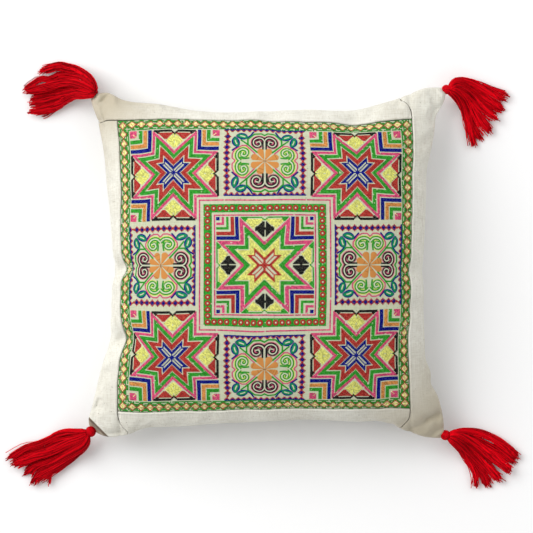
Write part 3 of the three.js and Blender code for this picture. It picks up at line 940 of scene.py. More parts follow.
def chart_centre_star(chart, x, y):
    """The middle star, with bands in all four corners of its square."""
    here = (np.abs(x) < CENTRE_STAR_HALF) & (np.abs(y) < CENTRE_STAR_HALF)
    low, high = low_and_high(x, y)
    chart_nested_stars(chart, here, low, high, CENTRE_STARS)
    chart_small_star(chart, here, low, high, "red", *CENTRE_SMALL_STAR)
    outside = low - CENTRE_ARM
    chart_bands(chart, here & (outside > 0), outside, CENTRE_BANDS)
    # The triangles between the arms, each with a blunt black diamond split by a bare column
    fill = CENTRE_TRIANGLE
    from_edge, aside = CENTRE_STAR_HALF - high, low
    between = here & (high - low >= CENTRE_ARM)
    off = np.abs(from_edge - fill["diamond_at"])
    wide, tall = fill["diamond"]
    blunt_wide, blunt_tall = fill["diamond_blunt"]
    diamond = np.maximum(aside / wide + off / tall, np.maximum(aside / blunt_wide, off / blunt_tall))
    yellow_from, yellow_to = fill["yellow"]
    yellow = between & (from_edge > yellow_from) & (from_edge < yellow_to)
    yellow &= (diamond > fill["beside_diamond"]) & (aside < fill["yellow_side"] - from_edge)
    set_where(chart, yellow & (aside > fill["yellow_split"]), "yellow")
    split = np.where(np.abs(x) < np.abs(y), x, y)
    column = (split > 0) & (split < 1) & (off > 1)
    set_where(chart, between & (diamond < 1) & ~column, "black")
    notch = np.maximum(0, fill["notch"] - aside)
    line = between & (from_edge >= notch) & (from_edge < notch + fill["line"]) & (aside < fill["side"])
    wedge = between & (from_edge < fill["wedge"]) & (aside <= fill["side"] - from_edge)
    wedge &= aside >= fill["wedge_from"] + WEDGE_SLOPE * from_edge
    set_where(chart, line | wedge, "green")


def chart_square_lines(chart, x, y):
    """The two pink lines and the green ring band round the centre square."""
    far = np.maximum(np.abs(x), np.abs(y))
    for line in SQUARE_LINES:
        set_where(chart, far == line, "pink")
    set_where(chart, (far > RING_BAND[0]) & (far < RING_BAND[1]), "green")


def chart_chain(chart, where, off, along):
    """A chain of blue diamonds edged with red, one cell apart, about the line where off is 0."""
    step = np.abs(along - CHAIN_PITCH * np.round(along / CHAIN_PITCH))
    reach = np.abs(off) + step
    set_where(chart, where & (reach < CHAIN_RED), "red")
    set_where(chart, where & (reach < CHAIN_BLUE), "blue")


def chart_flower_frames(chart, x, y):
    """Frames round the flower panels: a full chain at two ends and a half chain along the others."""
    inner, outer = FLOWER_FRAME["inner"], FLOWER_FRAME["outer"]
    for across, out in ((x, y), (y, x)):
        out, side = np.abs(out), np.abs(across)
        within = side < FLOWER_FRAME["half"]
        column = (out > inner + FLOWER_FRAME["clear"]) & (out < outer - FLOWER_FRAME["clear"])
        off_chain = side - FLOWER_FRAME["chain"]
        set_where(chart, (np.abs(off_chain) < LINE_HALF) & (out > inner) & (out < outer), "red")
        chart_chain(chart, column, off_chain, out - inner - FLOWER_FRAME["first"])
        for off in (out - inner, outer - out):
            near = within & (off > -LINE_HALF) & (off < HALF_CHAIN)
            chart_chain(chart, near, off, across - FLOWER_FRAME["chain"])
            set_where(chart, near & (np.abs(off) < LINE_HALF), "blue")


def stitch_chart():
    """The thread of each cell of the panel, as a code from THREAD, 0 where the cloth is bare."""
    centres = np.arange(CELLS) - (CELLS - 1) / 2
    x, y = np.meshgrid(centres, centres, indexing="ij")
    chart = np.zeros((CELLS, CELLS), dtype=int)
    chart_border(chart, x, y)
    for side_x in (-1, 1):
        for side_y in (-1, 1):
            chart_corner_star(chart, x, y, side_x, side_y)
    chart_centre_star(chart, x, y)
    chart_square_lines(chart, x, y)
    chart_flower_frames(chart, x, y)
    rng = np.random.default_rng(MISSED_SEED)
    for thread, share in MISSED.items():
        missed = (chart == THREAD[thread]) & (rng.uniform(0, 1, chart.shape) < share)
        chart[missed] = 0
    return chart, x, y


# The three shades of a stitching thread, and a cross stitch's sizes in cells and millimetres
STITCH_TONES = (1.0, 0.68, 1.28)
CROSS_WIDTH = 0.31
CROSS_REACH = 0.7
LOWER_LEG = 0.34
UPPER_LEG = 0.56
CROSS_WANDER = 0.05
WIDTH_UNEVEN = (0.92, 1.08)
HEIGHT_UNEVEN = (0.85, 1.15)
# Share of a bar's length that its ridge takes, and a bar's points and triangles
CROSS_RIDGE = 0.62
BAR_POINTS = 6
BAR_FACES = ((0, 1, 5), (0, 5, 4), (2, 3, 4), (2, 4, 5), (3, 0, 4), (1, 2, 5))


def bars(start, end, half_width, height, base=0.0, ridge=CROSS_RIDGE):
    """Stitches as low ridged bars, in cells with heights in millimetres."""
    start, end = np.asarray(start, float), np.asarray(end, float)
    along = end - start
    length = np.linalg.norm(along, axis=1, keepdims=True)
    unit = along / np.maximum(length, TINY)
    aside = np.stack([-unit[:, 1], unit[:, 0]], 1) * np.reshape(half_width, (-1, 1))
    middle = (start + end) / 2
    corners = [start - aside, end - aside, end + aside, start + aside]
    tops = [middle - along / 2 * ridge, middle + along / 2 * ridge]
    flat = np.stack(corners + tops, axis=1)
    heights = np.zeros(flat.shape[:2])
    heights[:, :4] = base
    heights[:, 4:] = np.reshape(height, (-1, 1))
    return flat, heights


def bar_mesh(flat, heights):
    """Points and triangles of bars laid on the face."""
    count = len(flat)
    places = CUSHION.at(flat[..., 0] * SHARE_PER_CELL, flat[..., 1] * SHARE_PER_CELL, heights + CLOTH)
    faces = (np.arange(count) * BAR_POINTS)[:, None, None] + np.array(BAR_FACES)[None]
    return places.reshape(-1, 3), faces.reshape(-1, 3)


def cross_bars(x, y, rng):
    """The two legs of a cross stitch over each cell."""
    centre = np.stack([x, y], 1) + rng.uniform(-CROSS_WANDER, CROSS_WANDER, (len(x), 2))
    reach = CROSS_REACH / math.sqrt(2)
    rising, falling = np.array([reach, reach]), np.array([reach, -reach])
    count = len(x)
    width = CROSS_WIDTH * rng.uniform(*WIDTH_UNEVEN, count)
    lower_height = LOWER_LEG * rng.uniform(*HEIGHT_UNEVEN, count)
    upper_height = UPPER_LEG * rng.uniform(*HEIGHT_UNEVEN, count)
    lower = bars(centre - rising, centre + rising, width, lower_height)
    upper = bars(centre - falling, centre + falling, width, upper_height)
    return np.concatenate([lower[0], upper[0]]), np.concatenate([lower[1], upper[1]])


# The flower panels' drawn lines: the satin bars' spacing in photo pixels, their half thickness
# as a share of it, and the share of a bar that its ridge takes
SATIN_STEP = 0.62
SATIN_THICK = 0.62
SATIN_RIDGE = 0.7
CURVE_PARTS = 12
FEWEST_BARS = 3


def even_places(line):
    """Places a satin step apart along a line of points."""
    lengths = np.concatenate([[0], np.cumsum(np.linalg.norm(np.diff(line, axis=0), axis=1))])
    at = np.linspace(0, lengths[-1], max(FEWEST_BARS, int(lengths[-1] / SATIN_STEP) + 1))
    return np.stack([np.interp(at, lengths, line[:, k]) for k in (0, 1)], 1)


def smooth_path(points):
    """Evenly spaced places on a smooth curve through the points."""
    points = np.asarray(points, float)
    padded = np.vstack([2 * points[0] - points[1], points, 2 * points[-1] - points[-2]])
    fine = []
    for k in range(len(points) - 1):
        p0, p1, p2, p3 = padded[k : k + 4]
        t = np.linspace(0, 1, CURVE_PARTS, endpoint=False)[:, None]
        fine.append(
            0.5
            * (
                2 * p1
                + (p2 - p0) * t
                + (2 * p0 - 5 * p1 + 4 * p2 - p3) * t**2
                + (3 * p1 - p0 - 3 * p2 + p3) * t**3
            )
        )
    return even_places(np.vstack(fine + [points[-1:]]))


def corner_path(points):
    """Evenly spaced places on straight runs between the points."""
    return even_places(np.asarray(points, float))


def satin(path, half_widths):
    """Bars side by side across a path, each as wide as the path is there."""
    heading = np.gradient(path, axis=0)
    heading /= np.linalg.norm(heading, axis=1, keepdims=True)
    aside = np.stack([-heading[:, 1], heading[:, 0]], 1) * np.reshape(half_widths, (-1, 1))
    return path - aside, path + aside


# The drawn lines of a quarter of a flower, and their half widths, in photo pixels from its centre:
# across, and out to the edge. Each has a layer, from 0 under all others to 3 on top.
PX_CELLS = 1 / 1.135
BLACK_SCROLL = (
    (0.2, 12.0), (0.2, 17.6), (0.4, 21.0), (2.6, 23.8), (6.2, 24.4), (9.9, 22.4), (11.0, 18.9),
    (9.4, 15.9), (6.4, 15.0), (3.9, 17.0), (4.8, 20.0), (7.4, 19.6),
)
GREEN_SCROLL = (
    (23.0, 0.2), (25.6, 3.0), (26.2, 6.7), (24.7, 10.4), (21.2, 12.3), (17.4, 10.6), (16.4, 7.4),
    (18.6, 5.0), (21.6, 6.2), (21.0, 9.0),
)
GREEN_STEM = ((14.4, 3.0), (19.5, 2.5), (23.4, 3.6))
SCROLL_HALF = 2.1
HALO_HALF = {"pink": 2.8, "yellow": 3.0}
BARE_LINE_HALF = {"black": 0.62, "green": 0.7}
STEM_HALF = 0.75
STRAIGHT_LINES = (
    ("green", 0.78, ((16.4, 16.4), (16.6, 22.7), (10, 28.9), (3, 29.3), (0, 27.3))),
    ("pink", 0.6, ((17.6, 16.1), (22, 16.2), (29, 11.4), (30.9, 7.2), (30.9, 2.9), (28.4, 0.6), (28, 0))),
    ("green", 0.78, ((6.9, 8.4), (16.2, 16.8))),
    ("pink", 0.6, ((9.0, 7.4), (18.2, 16.0))),
    ("green", 0.75, ((16.8, 17.2), (23.4, 22.4))),
)
LEAVES = (
    ((27.6, 27.2), (22.4, 26.6), (16.6, 24.4)),
    ((29.2, 25.8), (28.4, 20.6), (25.6, 15.2)),
)
LEAF_BLUNTNESS = 0.62
LEAF_ENDS = (0.02, 0.98)
LEAF_RIM = (0.5, 3.3)
LEAF_FILL = (0.1, 2.5)
LEAF_SLIT_HALF = 0.6
LEAF_STALKS = (((16.8, 24.6), (13.4, 27.4), (10.8, 31.6)), ((25.8, 15.4), (31.2, 11.0)))
STALK_HALF = 0.8
PETAL_ANGLES = (22.5, 67.5)
PETAL_REACH = (1.6, 13.2)
PETAL_HALF = (0.35, 3.9)
PETAL_WIDEST = 0.74
PETAL_TIP_LEAST = 0.02
FLOWER_MIDDLE = ((0, 0), (0.9, 0))
FLOWER_MIDDLE_HALF = 0.6


def flower_strokes():
    """Each drawn line of a quarter of the motif: thread, path in pixels, half width and layer."""
    strokes = []

    def add(thread, path, half_width, layer):
        strokes.append((thread, np.asarray(path), np.broadcast_to(half_width, len(path)), layer))

    # The black scroll's pink halo starts past its straight stem
    black = smooth_path(BLACK_SCROLL)
    add("pink", black[len(black) // 4 :], HALO_HALF["pink"], 0)
    add("black", black, SCROLL_HALF, 1)
    add("ground", black, BARE_LINE_HALF["black"], 2)
    green = smooth_path(GREEN_SCROLL)
    add("yellow", green, HALO_HALF["yellow"], 0)
    add("green", green, SCROLL_HALF, 1)
    add("ground", green, BARE_LINE_HALF["green"], 2)
    add("green", smooth_path(GREEN_STEM), STEM_HALF, 1)
    for thread, half_width, line in STRAIGHT_LINES:
        add(thread, corner_path(line), half_width, 1)
    for leaf in LEAVES:
        leaf = smooth_path(leaf)
        share = np.linspace(0, 1, len(leaf))
        bulge = np.sin(math.pi * np.clip(share, *LEAF_ENDS)) ** LEAF_BLUNTNESS
        add("blue", leaf, LEAF_RIM[0] + LEAF_RIM[1] * bulge, 1)
        add("leaf", leaf[1:-1], (LEAF_FILL[0] + LEAF_FILL[1] * bulge)[1:-1], 2)
        add("ground", leaf[len(leaf) // 3 : -len(leaf) // 4], LEAF_SLIT_HALF, 3)
    for stalk in LEAF_STALKS:
        add("blue", corner_path(stalk), STALK_HALF, 1)
    for angle in PETAL_ANGLES:
        turn = math.radians(angle)
        away = np.array([math.cos(turn), math.sin(turn)])
        petal = corner_path([away * reach for reach in PETAL_REACH])
        share = np.linspace(0, 1, len(petal))
        past = ((share - PETAL_WIDEST) / (1 - PETAL_WIDEST)).clip(0)
        tip = np.sqrt(np.clip(1 - past**2, PETAL_TIP_LEAST, 1))
        add("orange", petal, (PETAL_HALF[0] + PETAL_HALF[1] * share.clip(0, PETAL_WIDEST)) * tip, 1)
    add("orange", corner_path(FLOWER_MIDDLE), FLOWER_MIDDLE_HALF, 2)
    return strokes


# Share of the satin stitches in the darker shade, each layer's heights in millimetres, and how
# much the half of a flower toward the panel's edge is shortened
DARK_SATIN = 0.06
LAYER_BASE = (0.02, 0.16, 0.3, 0.42)
LAYER_TOP = (0.28, 0.52, 0.62, 0.7)
OUTER_SQUEEZE = 0.95


def quarter_turned(across, out, turns):
    """Places at a number of quarter turns about the panel's middle."""
    turn = turns * math.pi / 2
    cos, sin = round(math.cos(turn)), round(math.sin(turn))
    return np.stack([across * cos - out * sin, across * sin + out * cos], 1)


def flower_bars():
    """The strokes of all four flower panels, as bars by thread."""
    found = {}
    mirrored = [(flip_x, flip_y) for flip_x in (1, -1) for flip_y in (1, -1)]
    for thread, path, widths, layer in flower_strokes():
        ends = satin(path, widths)
        thick = np.full(len(path), SATIN_STEP * PX_CELLS * SATIN_THICK)
        for turns in range(4):
            for flip_x, flip_y in mirrored:
                made = []
                for points in ends:
                    across = points[:, 0] * PX_CELLS * flip_x
                    out = points[:, 1] * PX_CELLS * flip_y
                    out = np.where(out > 0, out * OUTER_SQUEEZE, out) + FLOWER_AT
                    made.append(quarter_turned(across, out, turns))
                worked = bars(*made, thick, LAYER_TOP[layer], LAYER_BASE[layer], SATIN_RIDGE)
                found.setdefault(thread, []).append(worked)
    return found


# A ring's sizes in cells, and its section: steps out from its middle line and heights over the
# cloth in millimetres. The knot in its middle reaches as far to each side as up and down.
RING_RADIUS = 1.75
RING_THREAD = 0.78
RING_SIDES = 14
RING_LIFT = 0.3
RING_SECTION = ((-1, 0.05), (-0.45, 0.6), (0.45, 0.6), (1, 0.05))
KNOT_REACH = 0.7
KNOT_TOP = 0.95
KNOT_BASE = 0.3
KNOT_RIDGE = 0.4


def ring_mesh():
    """The red rings of the centre square's band, each a closed loop of thread, and their middles."""
    step = (2 * RING_LINE - len(RING_GAPS) * RING_GAP) / (RINGS_PER_SIDE - 1)
    spots = []
    for k in range(RINGS_PER_SIDE - 1):
        along = -RING_LINE + k * step + RING_GAP * sum(k > gap for gap in RING_GAPS)
        spots += [(along, RING_LINE), (RING_LINE, -along), (-along, -RING_LINE), (-RING_LINE, along)]
    around = 2 * math.pi * np.arange(RING_SIDES) / RING_SIDES
    radius = np.array([RING_RADIUS + RING_THREAD * off for off, _ in RING_SECTION])
    height = np.array([rise for _, rise in RING_SECTION])
    x = np.cos(around)[:, None] * radius
    y = np.sin(around)[:, None] * radius
    flat = np.stack([x, y], -1).reshape(1, -1, 2) + np.array(spots)[:, None]
    lift = np.broadcast_to(np.tile(height, RING_SIDES) + CLOTH + RING_LIFT, flat.shape[:2])
    places = CUSHION.at(flat[..., 0] * SHARE_PER_CELL, flat[..., 1] * SHARE_PER_CELL, lift)
    faces = []
    corners = len(RING_SECTION)
    for s in range(RING_SIDES):
        here, there = s * corners, (s + 1) % RING_SIDES * corners
        for k in range(corners):
            after = (k + 1) % corners
            faces.append((here + k, there + k, there + after, here + after))
    faces = np.array(faces)[:, ::-1]
    size = RING_SIDES * corners
    faces = (np.arange(len(spots)) * size)[:, None, None] + faces[None]
    return places.reshape(-1, 3), faces.reshape(-1, 4), np.array(spots)


# Tassels

# A head's place and the route of each hank of threads are where the photo shows them, in its
# pixels. A hank has a half width in its middle and at its tip, in millimetres, and a layer.
TASSELS = (
    {
        "name": "tassel_top_left",
        "side": (-1, 1),
        "head": 5.2,
        "over": True,
        "at": (93.0, 91.5),
        "skirt": ((87, 70), (75, 94)),
        "hanks": (
            (5.6, 4.0, 2, (
                (94, 87), (90, 79), (83, 72.7), (75, 68.7),
                (66, 66.3), (57, 65), (48, 67), (40.5, 70),
            )),
            (5.2, 1.4, 1, (
                (93, 87), (86, 80), (78, 76), (68, 74.5),
                (58, 74.5), (49, 78), (38, 78.5), (26, 86),
            )),
            (5.5, 3.2, 3, (
                (92, 88.5), (82, 84), (72, 81.5), (62, 81.5),
                (52, 84), (43, 87), (34, 89.5), (26, 90.5),
            )),
            (5.5, 4.2, 1, (
                (92, 91), (84, 90), (75, 88), (66, 88),
                (57, 89.5), (47, 92), (38, 95), (31, 97.5),
            )),
            (5.5, 4.5, 2, (
                (91.5, 93), (84, 93), (74, 92.5), (65, 94),
                (56, 97), (47, 100), (38, 102.5), (31, 103),
            )),
            (5.0, 3.4, 3, (
                (91, 94), (83, 94.5), (73, 94.5), (66, 98.5),
                (59, 103), (50, 107), (40, 109.5), (30.5, 111.5),
            )),
            (3.6, 2.8, 1, (
                (90, 94.5), (80, 93.5), (72, 93.5), (65, 97.5),
                (60, 103.5), (53, 107.5), (47, 111), (43, 112.5),
            )),
        ),
    },
    {
        "name": "tassel_top_right",
        "side": (1, 1),
        "head": 5.8,
        "over": False,
        "at": (447.2, 88.6),
        "skirt": ((459, 80), (459, 98)),
        "hanks": (
            (5.4, 6.4, 2, (
                (453, 85), (457, 81), (465, 80.5), (476, 83.3),
                (486, 88), (496, 92.5), (505.5, 97.5),
            )),
            (5.8, 5.0, 1, (
                (453, 87), (458, 84), (467, 85.5), (477, 91.5),
                (486, 98), (494, 103), (502, 108.5),
            )),
            (5.5, 4.0, 3, (
                (453, 88), (458.5, 87), (467, 90.5), (475, 97.5),
                (482, 105.5), (489, 111), (497, 116.5),
            )),
            (6.0, 5.0, 2, (
                (452, 89), (457.5, 90), (465.5, 95), (472, 102.5),
                (478, 112), (483.5, 120.5), (491, 130),
            )),
            (4.2, 1.8, 1, (
                (451.5, 90), (456, 91.5), (463.5, 98), (468.5, 107),
                (472, 116), (474.5, 124), (481.5, 136.5),
            )),
            (4.5, 3.4, 2, (
                (451, 91), (455, 94), (461, 101), (465, 110),
                (467.5, 119), (471, 129), (474.5, 142),
            )),
        ),
    },
    {
        "name": "tassel_bottom_left",
        "side": (-1, -1),
        "head": 6.6,
        "over": False,
        "at": (89.7, 432.5),
        "skirt": ((74, 433), (84, 450)),
        "hanks": (
            (4.2, 1.5, 2, (
                (83, 432.5), (76, 432.6), (67, 432.7), (56, 435.5),
                (46, 441), (35, 446), (24, 449), (9, 458),
            )),
            (5.0, 3.0, 1, (
                (84, 434), (77, 436), (66, 438), (55, 442),
                (45, 447.5), (34, 451.5), (23, 455.5), (13.5, 461),
            )),
            (5.2, 3.0, 3, (
                (84, 436), (77, 440), (67, 444), (57, 449.5),
                (46, 454.5), (35, 458), (24, 462), (15, 466),
            )),
            (5.5, 4.0, 1, (
                (85, 437.5), (79, 443.5), (70, 449), (60, 455.5),
                (50, 461), (40, 465), (31, 468.5), (24.5, 474),
            )),
            (5.5, 3.6, 2, (
                (86, 438.5), (82, 446), (73, 452.5), (63, 459),
                (53, 465.5), (44, 470.5), (36.5, 475.5), (32, 484),
            )),
            (3.8, 3.0, 3, (
                (87.5, 439), (86.5, 445), (82.5, 450), (76, 455.5),
                (68, 461.5), (58, 468.5), (48.5, 474), (38, 480.5),
            )),
            (0.7, 0.4, 3, (
                (87.5, 439), (86, 445), (82, 450.5), (68, 461.5),
                (52, 470), (48.8, 476), (48, 480), (46.7, 486),
            )),
        ),
    },
    {
        "name": "tassel_bottom_right",
        "side": (1, -1),
        "head": 6.2,
        "over": False,
        "at": (446.4, 436.0),
        "skirt": ((463, 432), (459, 449)),
        "hanks": (
            (5.0, 4.2, 2, (
                (453, 434.5), (459, 433), (467, 432.3), (477, 433.5),
                (488, 436.5), (498, 441.5), (508, 448), (518, 457),
            )),
            (5.8, 3.4, 1, (
                (453, 436), (460, 436), (468, 437.5), (478, 441.5),
                (488, 446.5), (498, 451.5), (507, 457), (514, 462),
            )),
            (6.4, 4.4, 3, (
                (453, 437.5), (460, 438.5), (468, 442), (477, 447.5),
                (486, 453.5), (495, 459.5), (504, 465.5), (512, 471),
            )),
            (6.4, 4.2, 2, (
                (452.5, 439), (458.5, 441.5), (466, 447), (474, 454),
                (482, 461.5), (490, 469), (496, 475), (501.5, 480),
            )),
            (5.5, 5.0, 1, (
                (452, 440), (457, 444), (464.5, 451), (472, 460),
                (479, 469), (485, 477), (490, 486),
            )),
            (3.8, 2.0, 2, (
                (451.5, 441), (456.5, 445.5), (463.5, 453), (468.5, 462),
                (473.5, 470), (476.5, 477), (477.5, 485),
            )),
        ),
    },
)
TASSEL_TONES = (1.0, 0.6, 1.35)
# The right-hand tassels are painted lighter by this factor, a painted light against the shade on that side
RIGHT_PAINTED_LIGHT = 1.25
TASSEL_SEED = 11

# The knotted head: its rise over the corner, how steeply the tassel dips from it, and the cords
# wound into it, as shares of its radius
HEAD_RISE = 2.5
TASSEL_DIP = 0.42
BALL_CORDS = 7
BALL_CORD_PLACES = 17
BALL_CORD_HALF = 0.15
BALL_CORD_SIDES = 4
BALL_SPREAD = 0.86
BALL_REACH = 0.9
BALL_LEAST = 0.05

# The thread wound round the neck
NECK_RADIUS = 4.2
WRAP_START = 0.86
WRAP_LENGTH = 3.0
WRAP_TURNS = 4
WRAP_PLACES = 14
WRAP_THREAD = 0.62

# A hank leaves the head at its side, or comes over its top, and comes down to lie on the floor
THREAD_STEPS = 18
LAYER_RISE = 3.2
BESIDE_HEAD = {"gap": 0.6, "lift": 0.5}
OVER_HEAD = {"start": 0.4, "lift": 1.5}
DOWN_BY = 0.55
LYING_SHARE = 0.55

# A hank's section along its run: half widths and half thicknesses, from the neck to the tip
GATHERED_HALF = 2.2
WIDTH_RUN = (0, 0.12, 0.3, 0.75, 1)
WIDTH_NEAR_NECK = 0.8
THICKNESS_RUN = (0, 0.12, 0.4, 1)
THICKNESS_SHARES = (0.8, 0.62, 0.4)

# How the threads of a hank twist, clump, stray, end and wave
INNERMOST = 0.02
HANK_TWIST = 1.6
TWIST_UNEVEN = 0.25
FULL_TURN = 6.28
CLUMPS = 2.5
CLUMP_SHARE = 0.12
LOOSE_FROM = 0.45
LOOSE_POWER = 1.5
STRAY = 3.6
WILD_FROM = 0.95
WILD_STRAY = 7
CUT_SHORT = -1.5
CUT_UNEVEN = 3.0
CUT_WAVE = 2.4
CUT_WAVES = 0.9
CUT_FROM = 0.6
CUT_STRETCH = 2.5
WAVES = (9, 20)
WAVE_HALF = 0.5
WAVE_GROWTH = 3
WAVE_LAG = 0.6
PILE_HEIGHT = 3
THREAD_UNEVEN = (0.8, 1.2)


def unit(vector):
    """The vector's direction, of length 1."""
    vector = np.asarray(vector, float)
    return vector / np.linalg.norm(vector)


def seen_at(pixels):
    """Millimetres from the cover's middle, across and up, of places in the photo."""
    right_down = (np.asarray(pixels, float) - PHOTO_MIDDLE) * PHOTO_MM
    return right_down * (1, -1)


def tassel_axes(tassel):
    """Where a tassel's head sits off its corner, and its own axes along, aside and up."""
    side_x, side_y = tassel["side"]
    corner = filled_point(np.array(float(side_x)), np.array(float(side_y)), 1)
    head = np.array([*seen_at(tassel["at"]), corner[2] + HEAD_RISE])
    first = seen_at(tassel["skirt"]).mean(axis=0)
    flat = unit([*(first - head[:2]), 0])
    along = unit([flat[0], flat[1], -TASSEL_DIP])
    aside = unit(np.cross([0, 0, 1], flat))
    up = unit(np.cross(along, aside))
    return head, along, aside, up


def thread_tubes(centres, radius, sides=3):
    """Points and triangles of closed tubes, one along each row of centre points."""
    count, steps, _ = centres.shape
    along = np.gradient(centres, axis=1)
    along /= np.linalg.norm(along, axis=2, keepdims=True) + TINY
    aside = np.cross(np.array([0, 0, 1.0]), along)
    aside /= np.linalg.norm(aside, axis=2, keepdims=True) + TINY
    up = np.cross(along, aside)
    angles = 2 * math.pi * np.arange(sides) / sides + math.pi / 2
    ring = [aside * math.cos(a) + up * math.sin(a) for a in angles]
    points = centres[:, :, None] + np.stack(ring, 2) * np.reshape(radius, (count, -1, 1, 1))
    faces = []
    for s in range(steps - 1):
        for k in range(sides):
            a, b = s * sides + k, s * sides + (k + 1) % sides
            faces += [(a, b, b + sides), (a, b + sides, a + sides)]
    last = (steps - 1) * sides
    for k in range(1, sides - 1):
        faces += [(0, k + 1, k), (last, last + k, last + k + 1)]
    faces = np.array(faces)
    size = steps * sides
    faces = (np.arange(count) * size)[:, None, None] + faces[None]
    return points.reshape(-1, 3), faces.reshape(-1, 3)


def coil_tube(line, along, head, radius, sides=5):
    """A tube along a coil round an axis."""
    spoke = line - head
    spoke = spoke - np.outer(spoke @ along, along)
    spoke /= np.linalg.norm(spoke, axis=1, keepdims=True)
    angles = 2 * math.pi * np.arange(sides) / sides
    ring = [spoke * math.cos(a) + along * math.sin(a) for a in angles]
    points = (line[:, None] + np.stack(ring, 1) * radius).reshape(-1, 3)
    faces = []
    for s in range(len(line) - 1):
        for k in range(sides):
            a, b = s * sides + k, s * sides + (k + 1) % sides
            faces += [(a, a + sides, b + sides), (a, b + sides, b)]
    last = (len(line) - 1) * sides
    for k in range(1, sides - 1):
        faces += [(0, k, k + 1), (last, last + k + 1, last + k)]
    return points, np.array(faces)


def hank_threads(tassel, hank, count, thickness, rng):
    """The middle lines of one hank's threads, from inside the neck to their cut ends."""
    wide, tip, layer, route = hank
    head, along, _, _ = tassel_axes(tassel)
    route = seen_at(route)
    radius = tassel["head"]
    if tassel["over"]:
        start, lift = head + (0, 0, radius * OVER_HEAD["start"]), radius * OVER_HEAD["lift"]
    else:
        start, lift = head + along * (radius + BESIDE_HEAD["gap"]), radius * BESIDE_HEAD["lift"]
    drop = smooth_step(0, DOWN_BY, np.linspace(0, 1, len(route)))
    lying = wide * LYING_SHARE + (layer - 1) * LAYER_RISE
    z = (start[2] + lift) * (1 - drop) + lying * drop
    keys = np.vstack([start, np.column_stack([route, z])])
    at = np.linspace(0, len(keys) - 1, THREAD_STEPS)
    middle = curve_through(keys[None], at)[0]
    heading = np.gradient(middle, axis=0)
    heading /= np.linalg.norm(heading, axis=1, keepdims=True)
    sideways = np.cross([0, 0, 1.0], heading)
    sideways /= np.linalg.norm(sideways, axis=1, keepdims=True)
    rise = np.cross(heading, sideways)
    run = at / at[-1]
    across = np.interp(run, WIDTH_RUN, (GATHERED_HALF, wide * WIDTH_NEAR_NECK, wide, wide, tip))
    halves = (GATHERED_HALF, *(wide * share for share in THICKNESS_SHARES))
    thick = np.interp(run, THICKNESS_RUN, halves)
    out = np.sqrt(rng.uniform(INNERMOST, 1, (count, 1)))
    turn = rng.uniform(0, 2 * math.pi, (count, 1)) + HANK_TWIST * rng.normal(1, TWIST_UNEVEN) * run
    lateral = out * np.cos(turn) * across
    upward = out * np.sin(turn) * thick
    clump = np.sin(CLUMPS * math.pi * lateral / wide + rng.uniform(0, FULL_TURN))
    lateral = lateral + CLUMP_SHARE * wide * clump * run
    centres = middle + sideways * lateral[..., None] + rise * upward[..., None]
    # Threads part from each other toward their ends and are cut unevenly
    loose = np.clip(run - LOOSE_FROM, 0, 1) ** LOOSE_POWER
    wild = rng.uniform(0, 1, (count, 1)) > WILD_FROM
    stray = rng.normal(0, 1, (count, 1)) * STRAY + wild * rng.normal(0, WILD_STRAY, (count, 1))
    centres += sideways * (stray * loose)[..., None]
    cut = rng.normal(CUT_SHORT, CUT_UNEVEN, (count, 1))
    cut = cut + CUT_WAVE * np.sin(lateral[:, -1:] * CUT_WAVES + layer)
    centres += heading * (cut * np.clip(run - CUT_FROM, 0, 1) * CUT_STRETCH)[..., None]
    wave = rng.uniform(0, FULL_TURN, (count, 1)) + run * rng.uniform(*WAVES, (count, 1))
    growth = np.clip(run * WAVE_GROWTH - WAVE_LAG, 0, 1)
    centres += sideways * (np.sin(wave) * WAVE_HALF * growth)[..., None]
    pile = thickness * (1 + rng.uniform(0, PILE_HEIGHT, (count, 1)))
    centres[..., 2] = np.maximum(centres[..., 2], pile)
    return centres


def tassel_threads(tassel, count, thickness, rng):
    """All threads of a tassel's skirt, shared out among its hanks by their widths."""
    widths = np.array([hank[0] for hank in tassel["hanks"]])
    shares = np.round(count * widths / widths.sum()).astype(int)
    made = [
        hank_threads(tassel, hank, share, thickness, rng)
        for hank, share in zip(tassel["hanks"], shares)
    ]
    centres = np.concatenate(made)
    radius = thickness * rng.uniform(*THREAD_UNEVEN, (len(centres), 1)) * np.ones(THREAD_STEPS)
    return centres, radius


def wound_ball(head, along, aside, up, radius):
    """A knotted head: cords wound into a ball in three directions."""
    points, faces = [], []
    for axis, other, third in ((along, aside, up), (aside, up, along), (up, along, aside)):
        for k in range(BALL_CORDS):
            level = (k + 0.5) / BALL_CORDS * 2 - 1
            reach = radius * math.sqrt(max(BALL_LEAST, 1 - level * level)) * BALL_REACH
            angle = np.linspace(0, 2 * math.pi, BALL_CORD_PLACES)
            loop = (
                head
                + axis * level * radius * BALL_SPREAD
                + np.outer(np.cos(angle) * reach, other)
                + np.outer(np.sin(angle) * reach, third)
            )
            halves = np.full((1, BALL_CORD_PLACES), radius * BALL_CORD_HALF)
            made = thread_tubes(loop[None], halves, BALL_CORD_SIDES)
            faces.append(made[1] + sum(len(p) for p in points))
            points.append(made[0])
    return np.concatenate(points), np.concatenate(faces)


def toned(color, factor):
    """The colour made lighter or darker by a factor."""
    return tuple(min(1.0, c * factor) for c in color)


def thread_shades(name, color, tones):
    """Close shades of one thread, one for each tone."""
    return [
        Finish(f"{name}_{k}", toned(color, tone), THREAD_ROUGHNESS).material for k, tone in enumerate(tones)
    ]


def shown(piece, slot, *nodes):
    """Puts a piece in place of CAD nodes."""
    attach(piece, "root")
    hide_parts(*nodes)


# The properties that a user would change


def color_property(name, description, default):
    return FloatVectorProperty(
        name=name, description=description, subtype="COLOR", size=3, min=0, max=1, default=default
    )


